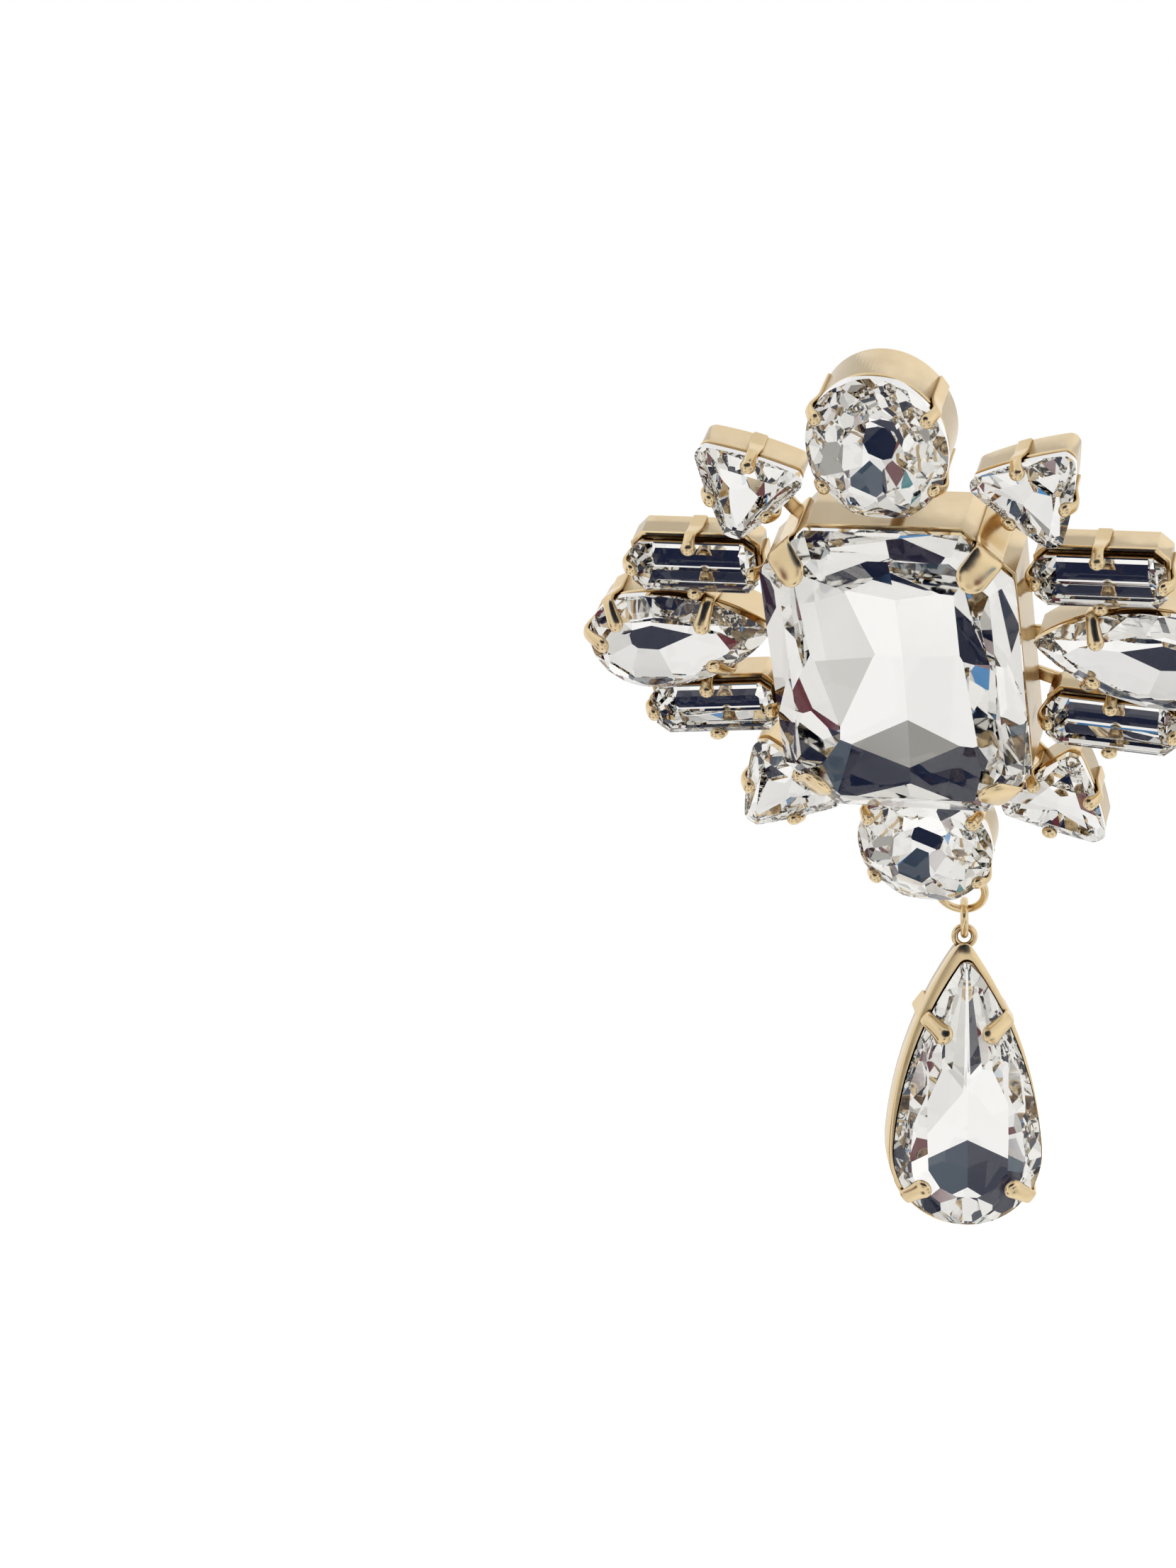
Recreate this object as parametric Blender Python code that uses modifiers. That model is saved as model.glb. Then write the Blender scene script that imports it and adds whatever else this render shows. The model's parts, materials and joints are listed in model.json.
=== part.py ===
"""Chandelier earring: thirteen cut stones in soldered claw cups, with a pear drop on a jump ring.

Row frame: +Z is up, the wearer's front is towards -Y, and the origin is where the ear post leaves the
cluster's back. The cluster hangs forward on its post, so its stones are laid out flat in a face frame
(x across, y up, z out of the face) that one empty turns into place.
"""
import math
from collections import namedtuple

import bmesh
import bpy
from mathutils import Matrix, Vector

MM = 0.001

# How the earring hangs
CLUSTER_DROOP = math.radians(36.0)
CLUSTER_ROLL = math.radians(3.8)
DROP_TURN = math.radians(15.0)
DROP_LEAN = math.radians(9.6)

# Stones, full sizes across and along
CENTRE_WIDTH = 24.6 * MM
CENTRE_HEIGHT = 32.2 * MM
CENTRE_CORNER_CUT = 4.8 * MM
TOP_WIDTH = 13.5 * MM
TOP_HEIGHT = 15.2 * MM
BOTTOM_WIDTH = 13.7 * MM
BOTTOM_HEIGHT = 14.0 * MM
TRILLION_RADIUS = 5.9 * MM
TRILLION_CORNER_RADIUS = 1.7 * MM
TRILLION_SIDE_REACH = 3.75 * MM
BAGUETTE_LENGTH = 13.2 * MM
BAGUETTE_WIDTH = 6.2 * MM
BAGUETTE_CORNER_CUT = 1.3 * MM
PEAR_LENGTH = 18.8 * MM
PEAR_WIDTH = 10.8 * MM
DROP_LENGTH = 28.8 * MM
DROP_WIDTH = 15.4 * MM

# How far each girdle stands above the small stones' girdles
CENTRE_LEVEL = 3.5 * MM
TOP_LEVEL = 1.5 * MM
PEAR_LEVEL = 0.5 * MM

# Cuts: heights as shares of the stone's smaller half size, and the facets round the girdle
GIRDLE_THICKNESS = 0.5 * MM
CROWN_SHARE = 0.27
PAVILION_SHARE = 0.42
TABLE_SHARE = 0.58
CULET_SHARE = 0.10
ROUND_FACETS = 16
PEAR_HEAD_STEPS = 7
PEAR_SIDE_STEPS = 3
PEAR_SIDE_RADIUS_SHARE = 3.2
TRILLION_CORNER_SPREAD = math.radians(52.0)
TRILLION_CORNER_STEPS = 3

# Cups and claws
CUP_DEPTH = 4.2 * MM
DROP_CUP_DEPTH = 5.0 * MM
CUP_WALL = 0.5 * MM
CUP_INSET = 0.2 * MM
SEAT_GAP = 0.2 * MM
CLAW_GAP = 0.15 * MM
CLAW_THICKNESS = 0.5 * MM
CLAW_WIDTH = 1.3 * MM
CLAW_REACH = 1.1 * MM
CLAW_TIP_SHARE = 0.7
BROAD_CLAW_WIDTH = 3.2 * MM
BROAD_CLAW_REACH = 2.6 * MM
DROP_CLAW_WIDTH = 2.1 * MM
DROP_CLAW_REACH = 1.9 * MM
BAR_WIDTH = 1.5 * MM
BAR_INSET = 0.06 * MM

# Spaces between neighbouring stones
STONE_SPACING = 0.35 * MM
INNER_END_SPACING = 0.85 * MM
TRILLION_SIDE_SPACING = 1.3 * MM
TUCK_SHARE = 0.82
PEAR_RISE = 0.3 * MM
PEAR_TILT = math.radians(8.0)
LOWER_BAGUETTE_TILT = math.radians(5.0)
TRILLION_TILT = math.radians(12.0)

# Post, loops and ring
POST_DIAMETER = 0.9 * MM
POST_LENGTH = 10.5 * MM
POST_SIDES = 12
POST_SEAT_SHARE = 0.2
POST_TIP_SHARE = 0.3
LOOP_RADIUS = 2.5 * MM
LOOP_WIRE = 0.8 * MM
LOOP_SIDE_ANGLE = math.radians(13.0)
RING_RADIUS = 1.75 * MM
RING_WIRE = 0.8 * MM
DROP_LOOP_RADIUS = 1.2 * MM
DROP_LOOP_WIRE = 0.74 * MM
DROP_APEX_BELOW_HINGE = 0.85 * MM
LINK_GAP = 0.1 * MM
LINK_SIDES = 16
WIRE_SIDES = 6

GOLD = ((0.85, 0.68, 0.42, 1.0), 0.18, 1.0)
CRYSTAL = ((0.80, 0.82, 0.85, 1.0), 0.03, 0.0)

# Claws: where each one crosses a stone's outline, as a ray in the stone's own axes
# Columns: share of the stone's length that the ray starts at, direction in degrees
ROUND_CLAWS = ((0.0, 35.0), (0.0, 145.0), (0.0, 215.0), (0.0, 325.0))
TRILLION_CLAWS = ((0.0, 60.0), (0.0, 180.0), (0.0, 300.0))
BAGUETTE_CLAWS = ((0.0, 0.0), (0.0, 90.0), (0.0, 180.0), (0.0, 270.0))
PEAR_CLAWS = ((0.0, 112.0), (0.0, 162.0), (0.30, 60.0), (0.30, -60.0))
DROP_CLAWS = ((0.45, 70.0), (0.45, -70.0), (0.0, 125.0), (0.0, -125.0))

Seat = namedtuple("Seat", "name outline centre turn level half_size length claws claw_width claw_reach")


def oval(half_width, half_height, inset=0.0):
    """Points of an oval, counterclockwise."""
    points = []
    wide = half_width - inset
    high = half_height - inset
    for step in range(ROUND_FACETS):
        angle = 2.0 * math.pi * (step + 0.5) / ROUND_FACETS
        points.append(Vector((wide * math.cos(angle), high * math.sin(angle))))
    return points


def cut_corner(half_width, half_height, cut, inset=0.0):
    """Points of an oblong with its four corners cut at 45 degrees."""
    wide = half_width - inset
    high = half_height - inset
    corner = cut - inset * (2.0 - math.sqrt(2.0))
    quarter = [Vector((wide, high - corner)), Vector((wide - corner, high))]
    points = []
    for sign_x, sign_y in ((1, 1), (-1, 1), (-1, -1), (1, -1)):
        corners = [Vector((p.x * sign_x, p.y * sign_y)) for p in quarter]
        points += corners if sign_x * sign_y > 0 else reversed(corners)
    return points


def trillion(radius, corner_radius, side_reach, inset=0.0):
    """Points of a rounded triangle with bulging sides and one corner on +x."""
    points = []
    for corner in range(3):
        heading = 2.0 * math.pi * corner / 3.0
        centre = (radius - corner_radius) * Vector((math.cos(heading), math.sin(heading)))
        for step in range(TRILLION_CORNER_STEPS + 1):
            share = 2.0 * step / TRILLION_CORNER_STEPS - 1.0
            angle = heading + share * TRILLION_CORNER_SPREAD
            points.append(centre + (corner_radius - inset) * Vector((math.cos(angle), math.sin(angle))))
        side = heading + math.pi / 3.0
        points.append((side_reach - inset) * Vector((math.cos(side), math.sin(side))))
    return points


def pear(length, width, inset=0.0):
    """Points of a pear with its tip on +x and its round head's centre at the origin."""
    head = width / 2.0
    reach = length - head
    side_radius = head * PEAR_SIDE_RADIUS_SHARE
    shift = side_radius - head
    cosine = (2.0 * side_radius * head - head ** 2 - reach ** 2) / (2.0 * reach * shift)
    join = math.acos(cosine)
    arc_centre = -shift * Vector((math.cos(join), math.sin(join)))
    side = side_radius - inset
    tip_angle = math.asin(-arc_centre.y / side)
    upper = []
    for step in range(PEAR_SIDE_STEPS):
        angle = tip_angle + (join - tip_angle) * step / PEAR_SIDE_STEPS
        upper.append(arc_centre + side * Vector((math.cos(angle), math.sin(angle))))
    head_points = []
    for step in range(PEAR_HEAD_STEPS):
        angle = join + (2.0 * math.pi - 2.0 * join) * step / (PEAR_HEAD_STEPS - 1)
        head_points.append((head - inset) * Vector((math.cos(angle), math.sin(angle))))
    lower = [Vector((p.x, -p.y)) for p in reversed(upper[1:])]
    return upper + head_points + lower


def stone_slopes(seat):
    """Crown and pavilion heights of a seat's stone."""
    return CROWN_SHARE * seat.half_size, PAVILION_SHARE * seat.half_size


def rim_drop(seat):
    """How far below the girdle's middle a cup's rim stays clear of the stone."""
    run = (CUP_INSET + CUP_WALL) / seat.half_size
    pavilion = stone_slopes(seat)[1]
    return GIRDLE_THICKNESS / 2.0 + pavilion * run / (1.0 - CULET_SHARE) + SEAT_GAP


def mesh_object(name, mesh, material=None):
    """An object for a mesh, in the scene's collection."""
    item = bpy.data.objects.new(name, mesh)
    bpy.context.scene.collection.objects.link(item)
    if material is not None:
        mesh.materials.append(material)
    return item


def finish(name, colour, roughness, metallic):
    """A plain material."""
    material = bpy.data.materials.new(name)
    material.use_nodes = True
    shader = material.node_tree.nodes["Principled BSDF"]
    shader.inputs["Base Color"].default_value = colour
    shader.inputs["Roughness"].default_value = roughness
    shader.inputs["Metallic"].default_value = metallic
    return material


def evaluated_mesh(item):
    """The mesh of an object after its modifiers, with loose caps welded; the object is removed."""
    bpy.context.view_layer.update()
    seen = item.evaluated_get(bpy.context.evaluated_depsgraph_get())
    mesh = bpy.data.meshes.new_from_object(seen)
    bpy.data.objects.remove(item)
    shape = bmesh.new()
    shape.from_mesh(mesh)
    bmesh.ops.remove_doubles(shape, verts=shape.verts, dist=0.00001)
    bmesh.ops.recalc_face_normals(shape, faces=shape.faces)
    shape.to_mesh(mesh)
    shape.free()
    return mesh


def flat_piece(name, points, thickness):
    """A flat outline in the xy plane as a solid of the given thickness, centred on z."""
    curve = bpy.data.curves.new(name, "CURVE")
    curve.dimensions = "2D"
    curve.fill_mode = "BOTH"
    curve.extrude = thickness / 2.0
    spline = curve.splines.new("POLY")
    spline.points.add(len(points) - 1)
    for slot, point in zip(spline.points, points):
        slot.co = (point[0], point[1], 0.0, 1.0)
    spline.use_cyclic_u = True
    return mesh_object(name, evaluated_mesh(mesh_object(name, curve)))


def cut_stone(name, seat, material):
    """A cut stone as the hull of its table, girdle and culet."""
    crown, pavilion = stone_slopes(seat)
    half_girdle = GIRDLE_THICKNESS / 2.0
    outline = seat.outline()
    middle = sum(outline, Vector((0.0, 0.0))) / len(outline)
    table = outline[::2] if len(outline) > 8 else outline
    rows = (
        (table, TABLE_SHARE, half_girdle + crown),
        (outline, 1.0, half_girdle),
        (outline, 1.0, -half_girdle),
        (table, CULET_SHARE, -half_girdle - pavilion),
    )
    shape = bmesh.new()
    for points, share, height in rows:
        for point in points:
            flat = middle + (point - middle) * share
            shape.verts.new((flat.x, flat.y, height))
    hull = bmesh.ops.convex_hull(shape, input=shape.verts)
    loose = [vert for vert in hull["geom_interior"] if isinstance(vert, bmesh.types.BMVert)]
    bmesh.ops.delete(shape, geom=loose, context="VERTS")
    bmesh.ops.recalc_face_normals(shape, faces=shape.faces)
    mesh = bpy.data.meshes.new(name)
    shape.to_mesh(mesh)
    shape.free()
    return mesh_object(name, mesh, material)


def cup(seat, back):
    """A tub with a floor, its wall set in from the stone's edge, in the seat's own axes."""
    rim = -rim_drop(seat)
    shape = bmesh.new()
    verts = [shape.verts.new((p.x, p.y, back)) for p in seat.outline(CUP_INSET)]
    floor = shape.faces.new(verts)
    wall = bmesh.ops.extrude_edge_only(shape, edges=list(floor.edges))
    raised = [vert for vert in wall["geom"] if isinstance(vert, bmesh.types.BMVert)]
    bmesh.ops.translate(shape, verts=raised, vec=(0.0, 0.0, rim - back))
    bmesh.ops.recalc_face_normals(shape, faces=shape.faces)
    floor.normal_update()
    if floor.normal.z > 0.0:
        bmesh.ops.reverse_faces(shape, faces=shape.faces)
    mesh = bpy.data.meshes.new("cup")
    shape.to_mesh(mesh)
    shape.free()
    tub = mesh_object("cup", mesh)
    shell = tub.modifiers.new("wall", "SOLIDIFY")
    shell.thickness = CUP_WALL
    shell.offset = -1.0
    shell.use_even_offset = True
    return mesh_object("cup", evaluated_mesh(tub))


def edge_at(points, start, angle):
    """Where a ray from start crosses an outline, and the outward direction there."""
    ray = Vector((math.cos(angle), math.sin(angle)))
    for first, second in zip(points, points[1:] + points[:1]):
        run = second - first
        across = ray.cross(run)
        if abs(across) < 1e-12:
            continue
        along = (first - start).cross(run) / across
        share = (first - start).cross(ray) / across
        if along > 0.0 and -1e-9 <= share <= 1.0 + 1e-9:
            outward = Vector((run.y, -run.x)).normalized()
            return start + ray * along, outward
    raise ValueError("the ray misses the outline")


def claw(seat, origin_share, degrees, back):
    """A strip up the cup's wall, round the girdle and over the crown, in the seat's own axes."""
    start = Vector((origin_share * seat.length, 0.0))
    spot, outward = edge_at(seat.outline(), start, math.radians(degrees))
    crown = stone_slopes(seat)[0]
    half_girdle = GIRDLE_THICKNESS / 2.0
    slope = crown / ((1.0 - TABLE_SHARE) * seat.half_size)
    rim = -rim_drop(seat)
    root = -CUP_INSET - CUP_WALL / 2.0
    inner_side = CLAW_GAP
    outer_side = CLAW_GAP + CLAW_THICKNESS
    tip_base = half_girdle + slope * seat.claw_reach + CLAW_GAP
    profile = (
        (root, back + CUP_WALL / 2.0),
        (root + CUP_WALL / 2.0 + outer_side / 2.0, back + CUP_WALL / 2.0),
        (outer_side - CLAW_THICKNESS / 4.0, rim - CLAW_THICKNESS),
        (outer_side, -half_girdle),
        (outer_side, half_girdle + CLAW_THICKNESS / 2.0),
        (outer_side - CLAW_THICKNESS, half_girdle + CLAW_THICKNESS * 1.5),
        (-seat.claw_reach + CLAW_THICKNESS / 2.0, tip_base + CLAW_THICKNESS),
        (-seat.claw_reach, tip_base + CLAW_THICKNESS * CLAW_TIP_SHARE),
        (-seat.claw_reach, tip_base),
        (inner_side, half_girdle + CLAW_GAP),
        (inner_side, -half_girdle - CLAW_GAP),
        (root, rim - CLAW_THICKNESS / 4.0),
    )
    strip = flat_piece("claw", profile, seat.claw_width)
    along = Vector((outward.x, outward.y, 0.0))
    out = Vector((0.0, 0.0, 1.0))
    side = along.cross(out)
    basis = Matrix((along, out, side)).transposed().to_4x4()
    strip.matrix_world = Matrix.Translation((spot.x, spot.y, 0.0)) @ basis
    return strip


def ring(name, radius, wire):
    """A round link in the xy plane."""
    bpy.ops.mesh.primitive_torus_add(
        major_radius=radius, minor_radius=wire / 2.0, major_segments=LINK_SIDES, minor_segments=WIRE_SIDES
    )
    link = bpy.context.active_object
    link.name = name
    return link


def solder(name, pieces, material):
    """One solid from overlapping pieces."""
    base = pieces[0]
    joined = bpy.data.collections.new("solder")
    for piece in pieces[1:]:
        joined.objects.link(piece)
    union = base.modifiers.new("solder", "BOOLEAN")
    union.operation = "UNION"
    union.solver = "EXACT"
    union.operand_type = "COLLECTION"
    union.collection = joined
    placed = base.matrix_world.copy()
    mesh = evaluated_mesh(base)
    mesh.transform(placed)
    for piece in pieces[1:]:
        bpy.data.objects.remove(piece)
    bpy.data.collections.remove(joined)
    return mesh_object(name, mesh, material)


def cluster_seats():
    """The thirteen seats of the cluster, each placed from its neighbours' sizes."""
    half_centre = CENTRE_WIDTH / 2.0
    half_baguette = BAGUETTE_WIDTH / 2.0
    half_pear = PEAR_WIDTH / 2.0
    cup_edge = CENTRE_HEIGHT / 2.0
    top_y = cup_edge + TOP_HEIGHT / 2.0 + STONE_SPACING
    bottom_y = -cup_edge - BOTTOM_HEIGHT / 2.0 - STONE_SPACING
    pear_x = half_centre + STONE_SPACING + PEAR_LENGTH - half_pear
    baguette_x = half_centre + INNER_END_SPACING + BAGUETTE_LENGTH / 2.0
    upper_baguette_y = PEAR_RISE + half_pear + STONE_SPACING + half_baguette
    lower_baguette_y = PEAR_RISE - half_pear * TUCK_SHARE - STONE_SPACING - half_baguette
    corner_x = TRILLION_RADIUS * math.cos(TRILLION_TILT)
    corner_y = TRILLION_RADIUS * math.cos(math.radians(30.0) - TRILLION_TILT)
    upper_trillion_x = TOP_WIDTH / 2.0 + TRILLION_SIDE_SPACING + corner_x
    lower_trillion_x = BOTTOM_WIDTH / 2.0 + TRILLION_SIDE_SPACING + corner_x
    upper_trillion_y = upper_baguette_y + half_baguette + STONE_SPACING + corner_y
    lower_drop = BAGUETTE_LENGTH / 2.0 * math.sin(LOWER_BAGUETTE_TILT)
    lower_trillion_y = lower_baguette_y - half_baguette - lower_drop - STONE_SPACING - corner_y

    def centre_outline(inset=0.0):
        return cut_corner(half_centre, CENTRE_HEIGHT / 2.0, CENTRE_CORNER_CUT, inset)

    def top_outline(inset=0.0):
        return oval(TOP_WIDTH / 2.0, TOP_HEIGHT / 2.0, inset)

    def bottom_outline(inset=0.0):
        return oval(BOTTOM_WIDTH / 2.0, BOTTOM_HEIGHT / 2.0, inset)

    def trillion_outline(inset=0.0):
        return trillion(TRILLION_RADIUS, TRILLION_CORNER_RADIUS, TRILLION_SIDE_REACH, inset)

    def baguette_outline(inset=0.0):
        return cut_corner(BAGUETTE_LENGTH / 2.0, half_baguette, BAGUETTE_CORNER_CUT, inset)

    def pear_outline(inset=0.0):
        return pear(PEAR_LENGTH, PEAR_WIDTH, inset)

    half_cut = CENTRE_CORNER_CUT / 2.0
    corner = math.degrees(math.atan2(CENTRE_HEIGHT / 2.0 - half_cut, half_centre - half_cut))
    centre_claws = [(0.0, turn) for turn in (corner, 180.0 - corner, 180.0 + corner, -corner)]

    seats = [
        Seat("centre_stone", centre_outline, (0.0, 0.0), 0.0, CENTRE_LEVEL, half_centre, CENTRE_WIDTH,
             centre_claws, BROAD_CLAW_WIDTH, BROAD_CLAW_REACH),
        Seat("top_stone", top_outline, (0.0, top_y), 0.0, TOP_LEVEL, TOP_WIDTH / 2.0, TOP_WIDTH,
             ROUND_CLAWS, CLAW_WIDTH, CLAW_REACH),
        Seat("bottom_stone", bottom_outline, (0.0, bottom_y), 0.0, 0.0, BOTTOM_WIDTH / 2.0, BOTTOM_WIDTH,
             ROUND_CLAWS, CLAW_WIDTH, CLAW_REACH),
    ]
    for side, sign in (("left", -1.0), ("right", 1.0)):
        inward = 0.0 if sign < 0.0 else math.pi
        upper_place = (sign * upper_trillion_x, upper_trillion_y)
        lower_place = (sign * lower_trillion_x, lower_trillion_y)
        seats.append(Seat("trillion_upper_" + side, trillion_outline, upper_place,
                          inward - sign * TRILLION_TILT, 0.0, TRILLION_SIDE_REACH, TRILLION_RADIUS,
                          TRILLION_CLAWS, CLAW_WIDTH, CLAW_REACH))
        seats.append(Seat("trillion_lower_" + side, trillion_outline, lower_place,
                          inward + sign * TRILLION_TILT, 0.0, TRILLION_SIDE_REACH, TRILLION_RADIUS,
                          TRILLION_CLAWS, CLAW_WIDTH, CLAW_REACH))
        seats.append(Seat("baguette_upper_" + side, baguette_outline, (sign * baguette_x, upper_baguette_y),
                          0.0, 0.0, half_baguette, BAGUETTE_LENGTH, BAGUETTE_CLAWS, CLAW_WIDTH, CLAW_REACH))
        seats.append(Seat("baguette_lower_" + side, baguette_outline, (sign * baguette_x, lower_baguette_y),
                          -sign * LOWER_BAGUETTE_TILT, 0.0, half_baguette, BAGUETTE_LENGTH,
                          BAGUETTE_CLAWS, CLAW_WIDTH, CLAW_REACH))
        pear_claws = [(share, -sign * turn) for share, turn in PEAR_CLAWS]
        seats.append(Seat("pear_" + side, pear_outline, (sign * pear_x, PEAR_RISE),
                          inward - sign * PEAR_TILT, PEAR_LEVEL, half_pear, PEAR_LENGTH,
                          pear_claws, CLAW_WIDTH, CLAW_REACH))
    return seats


def drop_seat():
    """The drop's seat, with its tip up."""
    def outline(inset=0.0):
        return pear(DROP_LENGTH, DROP_WIDTH, inset)

    return Seat("drop_stone", outline, (0.0, 0.0), math.pi / 2.0, 0.0, DROP_WIDTH / 2.0, DROP_LENGTH,
                DROP_CLAWS, DROP_CLAW_WIDTH, DROP_CLAW_REACH)


def seat_matrix(seat, foot):
    """The seat's own axes in its face frame, with the frame's foot at the back of the cups."""
    place = Vector((seat.centre[0], seat.centre[1], seat.level)) - foot
    return Matrix.Translation(place) @ Matrix.Rotation(seat.turn, 4, "Z")


def hold(item, frame, local):
    """Hang an object in a frame empty."""
    item.parent = frame
    item.matrix_parent_inverse = Matrix()
    item.matrix_basis = local


def frame_empty(name, matrix):
    """An empty that carries a group of pieces."""
    empty = bpy.data.objects.new(name, None)
    empty.matrix_world = matrix
    bpy.context.scene.collection.objects.link(empty)
    return empty


def ear_post():
    """A straight bare wire with a rounded tip, from the floor out of the back."""
    radius = POST_DIAMETER / 2.0
    shape = bmesh.new()
    rows = [(0.0, CUP_WALL / 2.0), (radius, CUP_WALL / 2.0), (radius, radius - POST_LENGTH),
            (radius * (1.0 - POST_TIP_SHARE), radius * POST_TIP_SHARE - POST_LENGTH), (0.0, -POST_LENGTH)]
    verts = [shape.verts.new((x, 0.0, z)) for x, z in rows]
    for first, second in zip(verts, verts[1:]):
        shape.edges.new((first, second))
    mesh = bpy.data.meshes.new("post")
    shape.to_mesh(mesh)
    shape.free()
    post = mesh_object("post", mesh)
    turn = post.modifiers.new("turn", "SCREW")
    turn.steps = POST_SIDES
    turn.render_steps = POST_SIDES
    turn.use_merge_vertices = True
    turn.merge_threshold = 0.00001
    return mesh_object("post", evaluated_mesh(post))


def back_bar(centre, foot):
    """A flat bar behind the cups, from the middle of the cluster to a cup's centre."""
    reach = Vector(centre)
    bpy.ops.mesh.primitive_cube_add(size=1.0)
    bar = bpy.context.active_object
    middle = Vector((reach.x / 2.0, reach.y / 2.0, -CUP_DEPTH + BAR_INSET + CUP_WALL / 2.0)) - foot
    heading = math.atan2(reach.y, reach.x)
    bar.matrix_world = (Matrix.Translation(middle) @ Matrix.Rotation(heading, 4, "Z")
                        @ Matrix.Diagonal((reach.length, BAR_WIDTH, CUP_WALL, 1.0)))
    return bar


def build():
    """Model the earring in a fresh scene."""
    for item in list(bpy.data.objects):
        bpy.data.objects.remove(item)
    gold = finish("gold", *GOLD)
    crystal = finish("crystal", *CRYSTAL)

    seats = cluster_seats()
    by_name = {seat.name: seat for seat in seats}
    top = by_name["top_stone"]
    bottom = by_name["bottom_stone"]
    post_y = top.centre[1] - POST_SEAT_SHARE * TOP_HEIGHT
    foot = Vector((0.0, post_y, -CUP_DEPTH))

    face = (Matrix.Rotation(CLUSTER_DROOP, 4, "X") @ Matrix.Rotation(CLUSTER_ROLL, 4, "Y")
            @ Matrix.Rotation(math.pi / 2.0, 4, "X"))
    cluster_frame = frame_empty("cluster_frame", face)

    pieces = []
    stones = []
    for seat in seats:
        place = seat_matrix(seat, foot)
        back = -CUP_DEPTH - seat.level
        tub = cup(seat, back)
        tub.matrix_world = place
        pieces.append(tub)
        for share, turn in seat.claws:
            strip = claw(seat, share, turn, back)
            strip.matrix_world = place @ strip.matrix_world
            pieces.append(strip)
        if seat.centre[0] or seat.centre[1]:
            pieces.append(back_bar(seat.centre, foot))
        stones.append((cut_stone(seat.name, seat, crystal), place))
    pieces.append(ear_post())

    loop_reach = BOTTOM_HEIGHT / 2.0 - CUP_INSET + LOOP_RADIUS - CUP_WALL / 2.0
    loop_x = loop_reach * math.sin(LOOP_SIDE_ANGLE)
    loop_y = bottom.centre[1] - loop_reach * math.cos(LOOP_SIDE_ANGLE)
    loop_centre = Vector((loop_x, loop_y, -CUP_DEPTH + LOOP_WIRE / 2.0)) - foot
    loop = ring("loop", LOOP_RADIUS, LOOP_WIRE)
    loop.matrix_world = Matrix.Translation(loop_centre)
    pieces.append(loop)

    setting = solder("cluster_setting", pieces, gold)
    hold(setting, cluster_frame, Matrix())
    for stone, place in stones:
        hold(stone, cluster_frame, place)

    face_turn = face.to_3x3()
    normal = face_turn @ Vector((0.0, 0.0, 1.0))
    fall = (Vector((0.0, 0.0, -1.0)) + normal * normal.z).normalized()
    hang_point = face_turn @ loop_centre + fall * LOOP_RADIUS

    ring_lift = (LOOP_WIRE + RING_WIRE) / 2.0 + LINK_GAP
    ring_centre = hang_point + Vector((0.0, 0.0, ring_lift - RING_RADIUS))
    link = ring("jump_ring", RING_RADIUS, RING_WIRE)
    link.data.materials.append(gold)
    ring_frame = frame_empty("ring_frame", Matrix.Translation(hang_point))
    hold(link, ring_frame, Matrix.Translation(ring_centre - hang_point) @ Matrix.Rotation(DROP_TURN, 4, "Z")
         @ Matrix.Rotation(math.pi / 2.0, 4, "Y"))

    hinge = ring_centre - Vector((0.0, 0.0, RING_RADIUS))
    drop_turn = (Matrix.Rotation(DROP_TURN, 4, "Z") @ Matrix.Rotation(DROP_LEAN, 4, "X")
                 @ Matrix.Rotation(math.pi / 2.0, 4, "X"))
    drop_frame = frame_empty("drop_frame", Matrix.Translation(hinge) @ drop_turn)

    seat = drop_seat()
    loop_lift = (DROP_LOOP_WIRE + RING_WIRE) / 2.0 + LINK_GAP
    apex = -DROP_APEX_BELOW_HINGE + CUP_INSET
    head_y = apex - (DROP_LENGTH - DROP_WIDTH / 2.0)
    drop_foot = Vector((0.0, -head_y, -DROP_CUP_DEPTH + DROP_LOOP_WIRE / 2.0))
    place = seat_matrix(seat, drop_foot)
    back = -DROP_CUP_DEPTH
    tub = cup(seat, back)
    tub.matrix_world = place
    drop_pieces = [tub]
    for share, turn in seat.claws:
        strip = claw(seat, share, turn, back)
        strip.matrix_world = place @ strip.matrix_world
        drop_pieces.append(strip)
    drop_loop = ring("drop_loop", DROP_LOOP_RADIUS, DROP_LOOP_WIRE)
    drop_loop.matrix_world = Matrix.Translation((0.0, loop_lift - DROP_LOOP_RADIUS, 0.0))
    drop_pieces.append(drop_loop)
    drop_setting = solder("drop_setting", drop_pieces, gold)
    hold(drop_setting, drop_frame, Matrix())
    hold(cut_stone("drop_stone", seat, crystal), drop_frame, place)

    shown = bpy.data.collections.new("chandelier_earring")
    bpy.context.scene.collection.children.link(shown)
    for item in list(bpy.context.scene.collection.objects):
        shown.objects.link(item)
        bpy.context.scene.collection.objects.unlink(item)


build()
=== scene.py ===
"""Looks of the chandelier earring, built round its fixed frame and laid out as an add-on.

Each stone is ground from a blank, facet by facet, with a mirror foil on its back. Cups, claws, loops
and the post are polished gold. Places come from the frame, and sizes from the properties below.
"""

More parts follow.
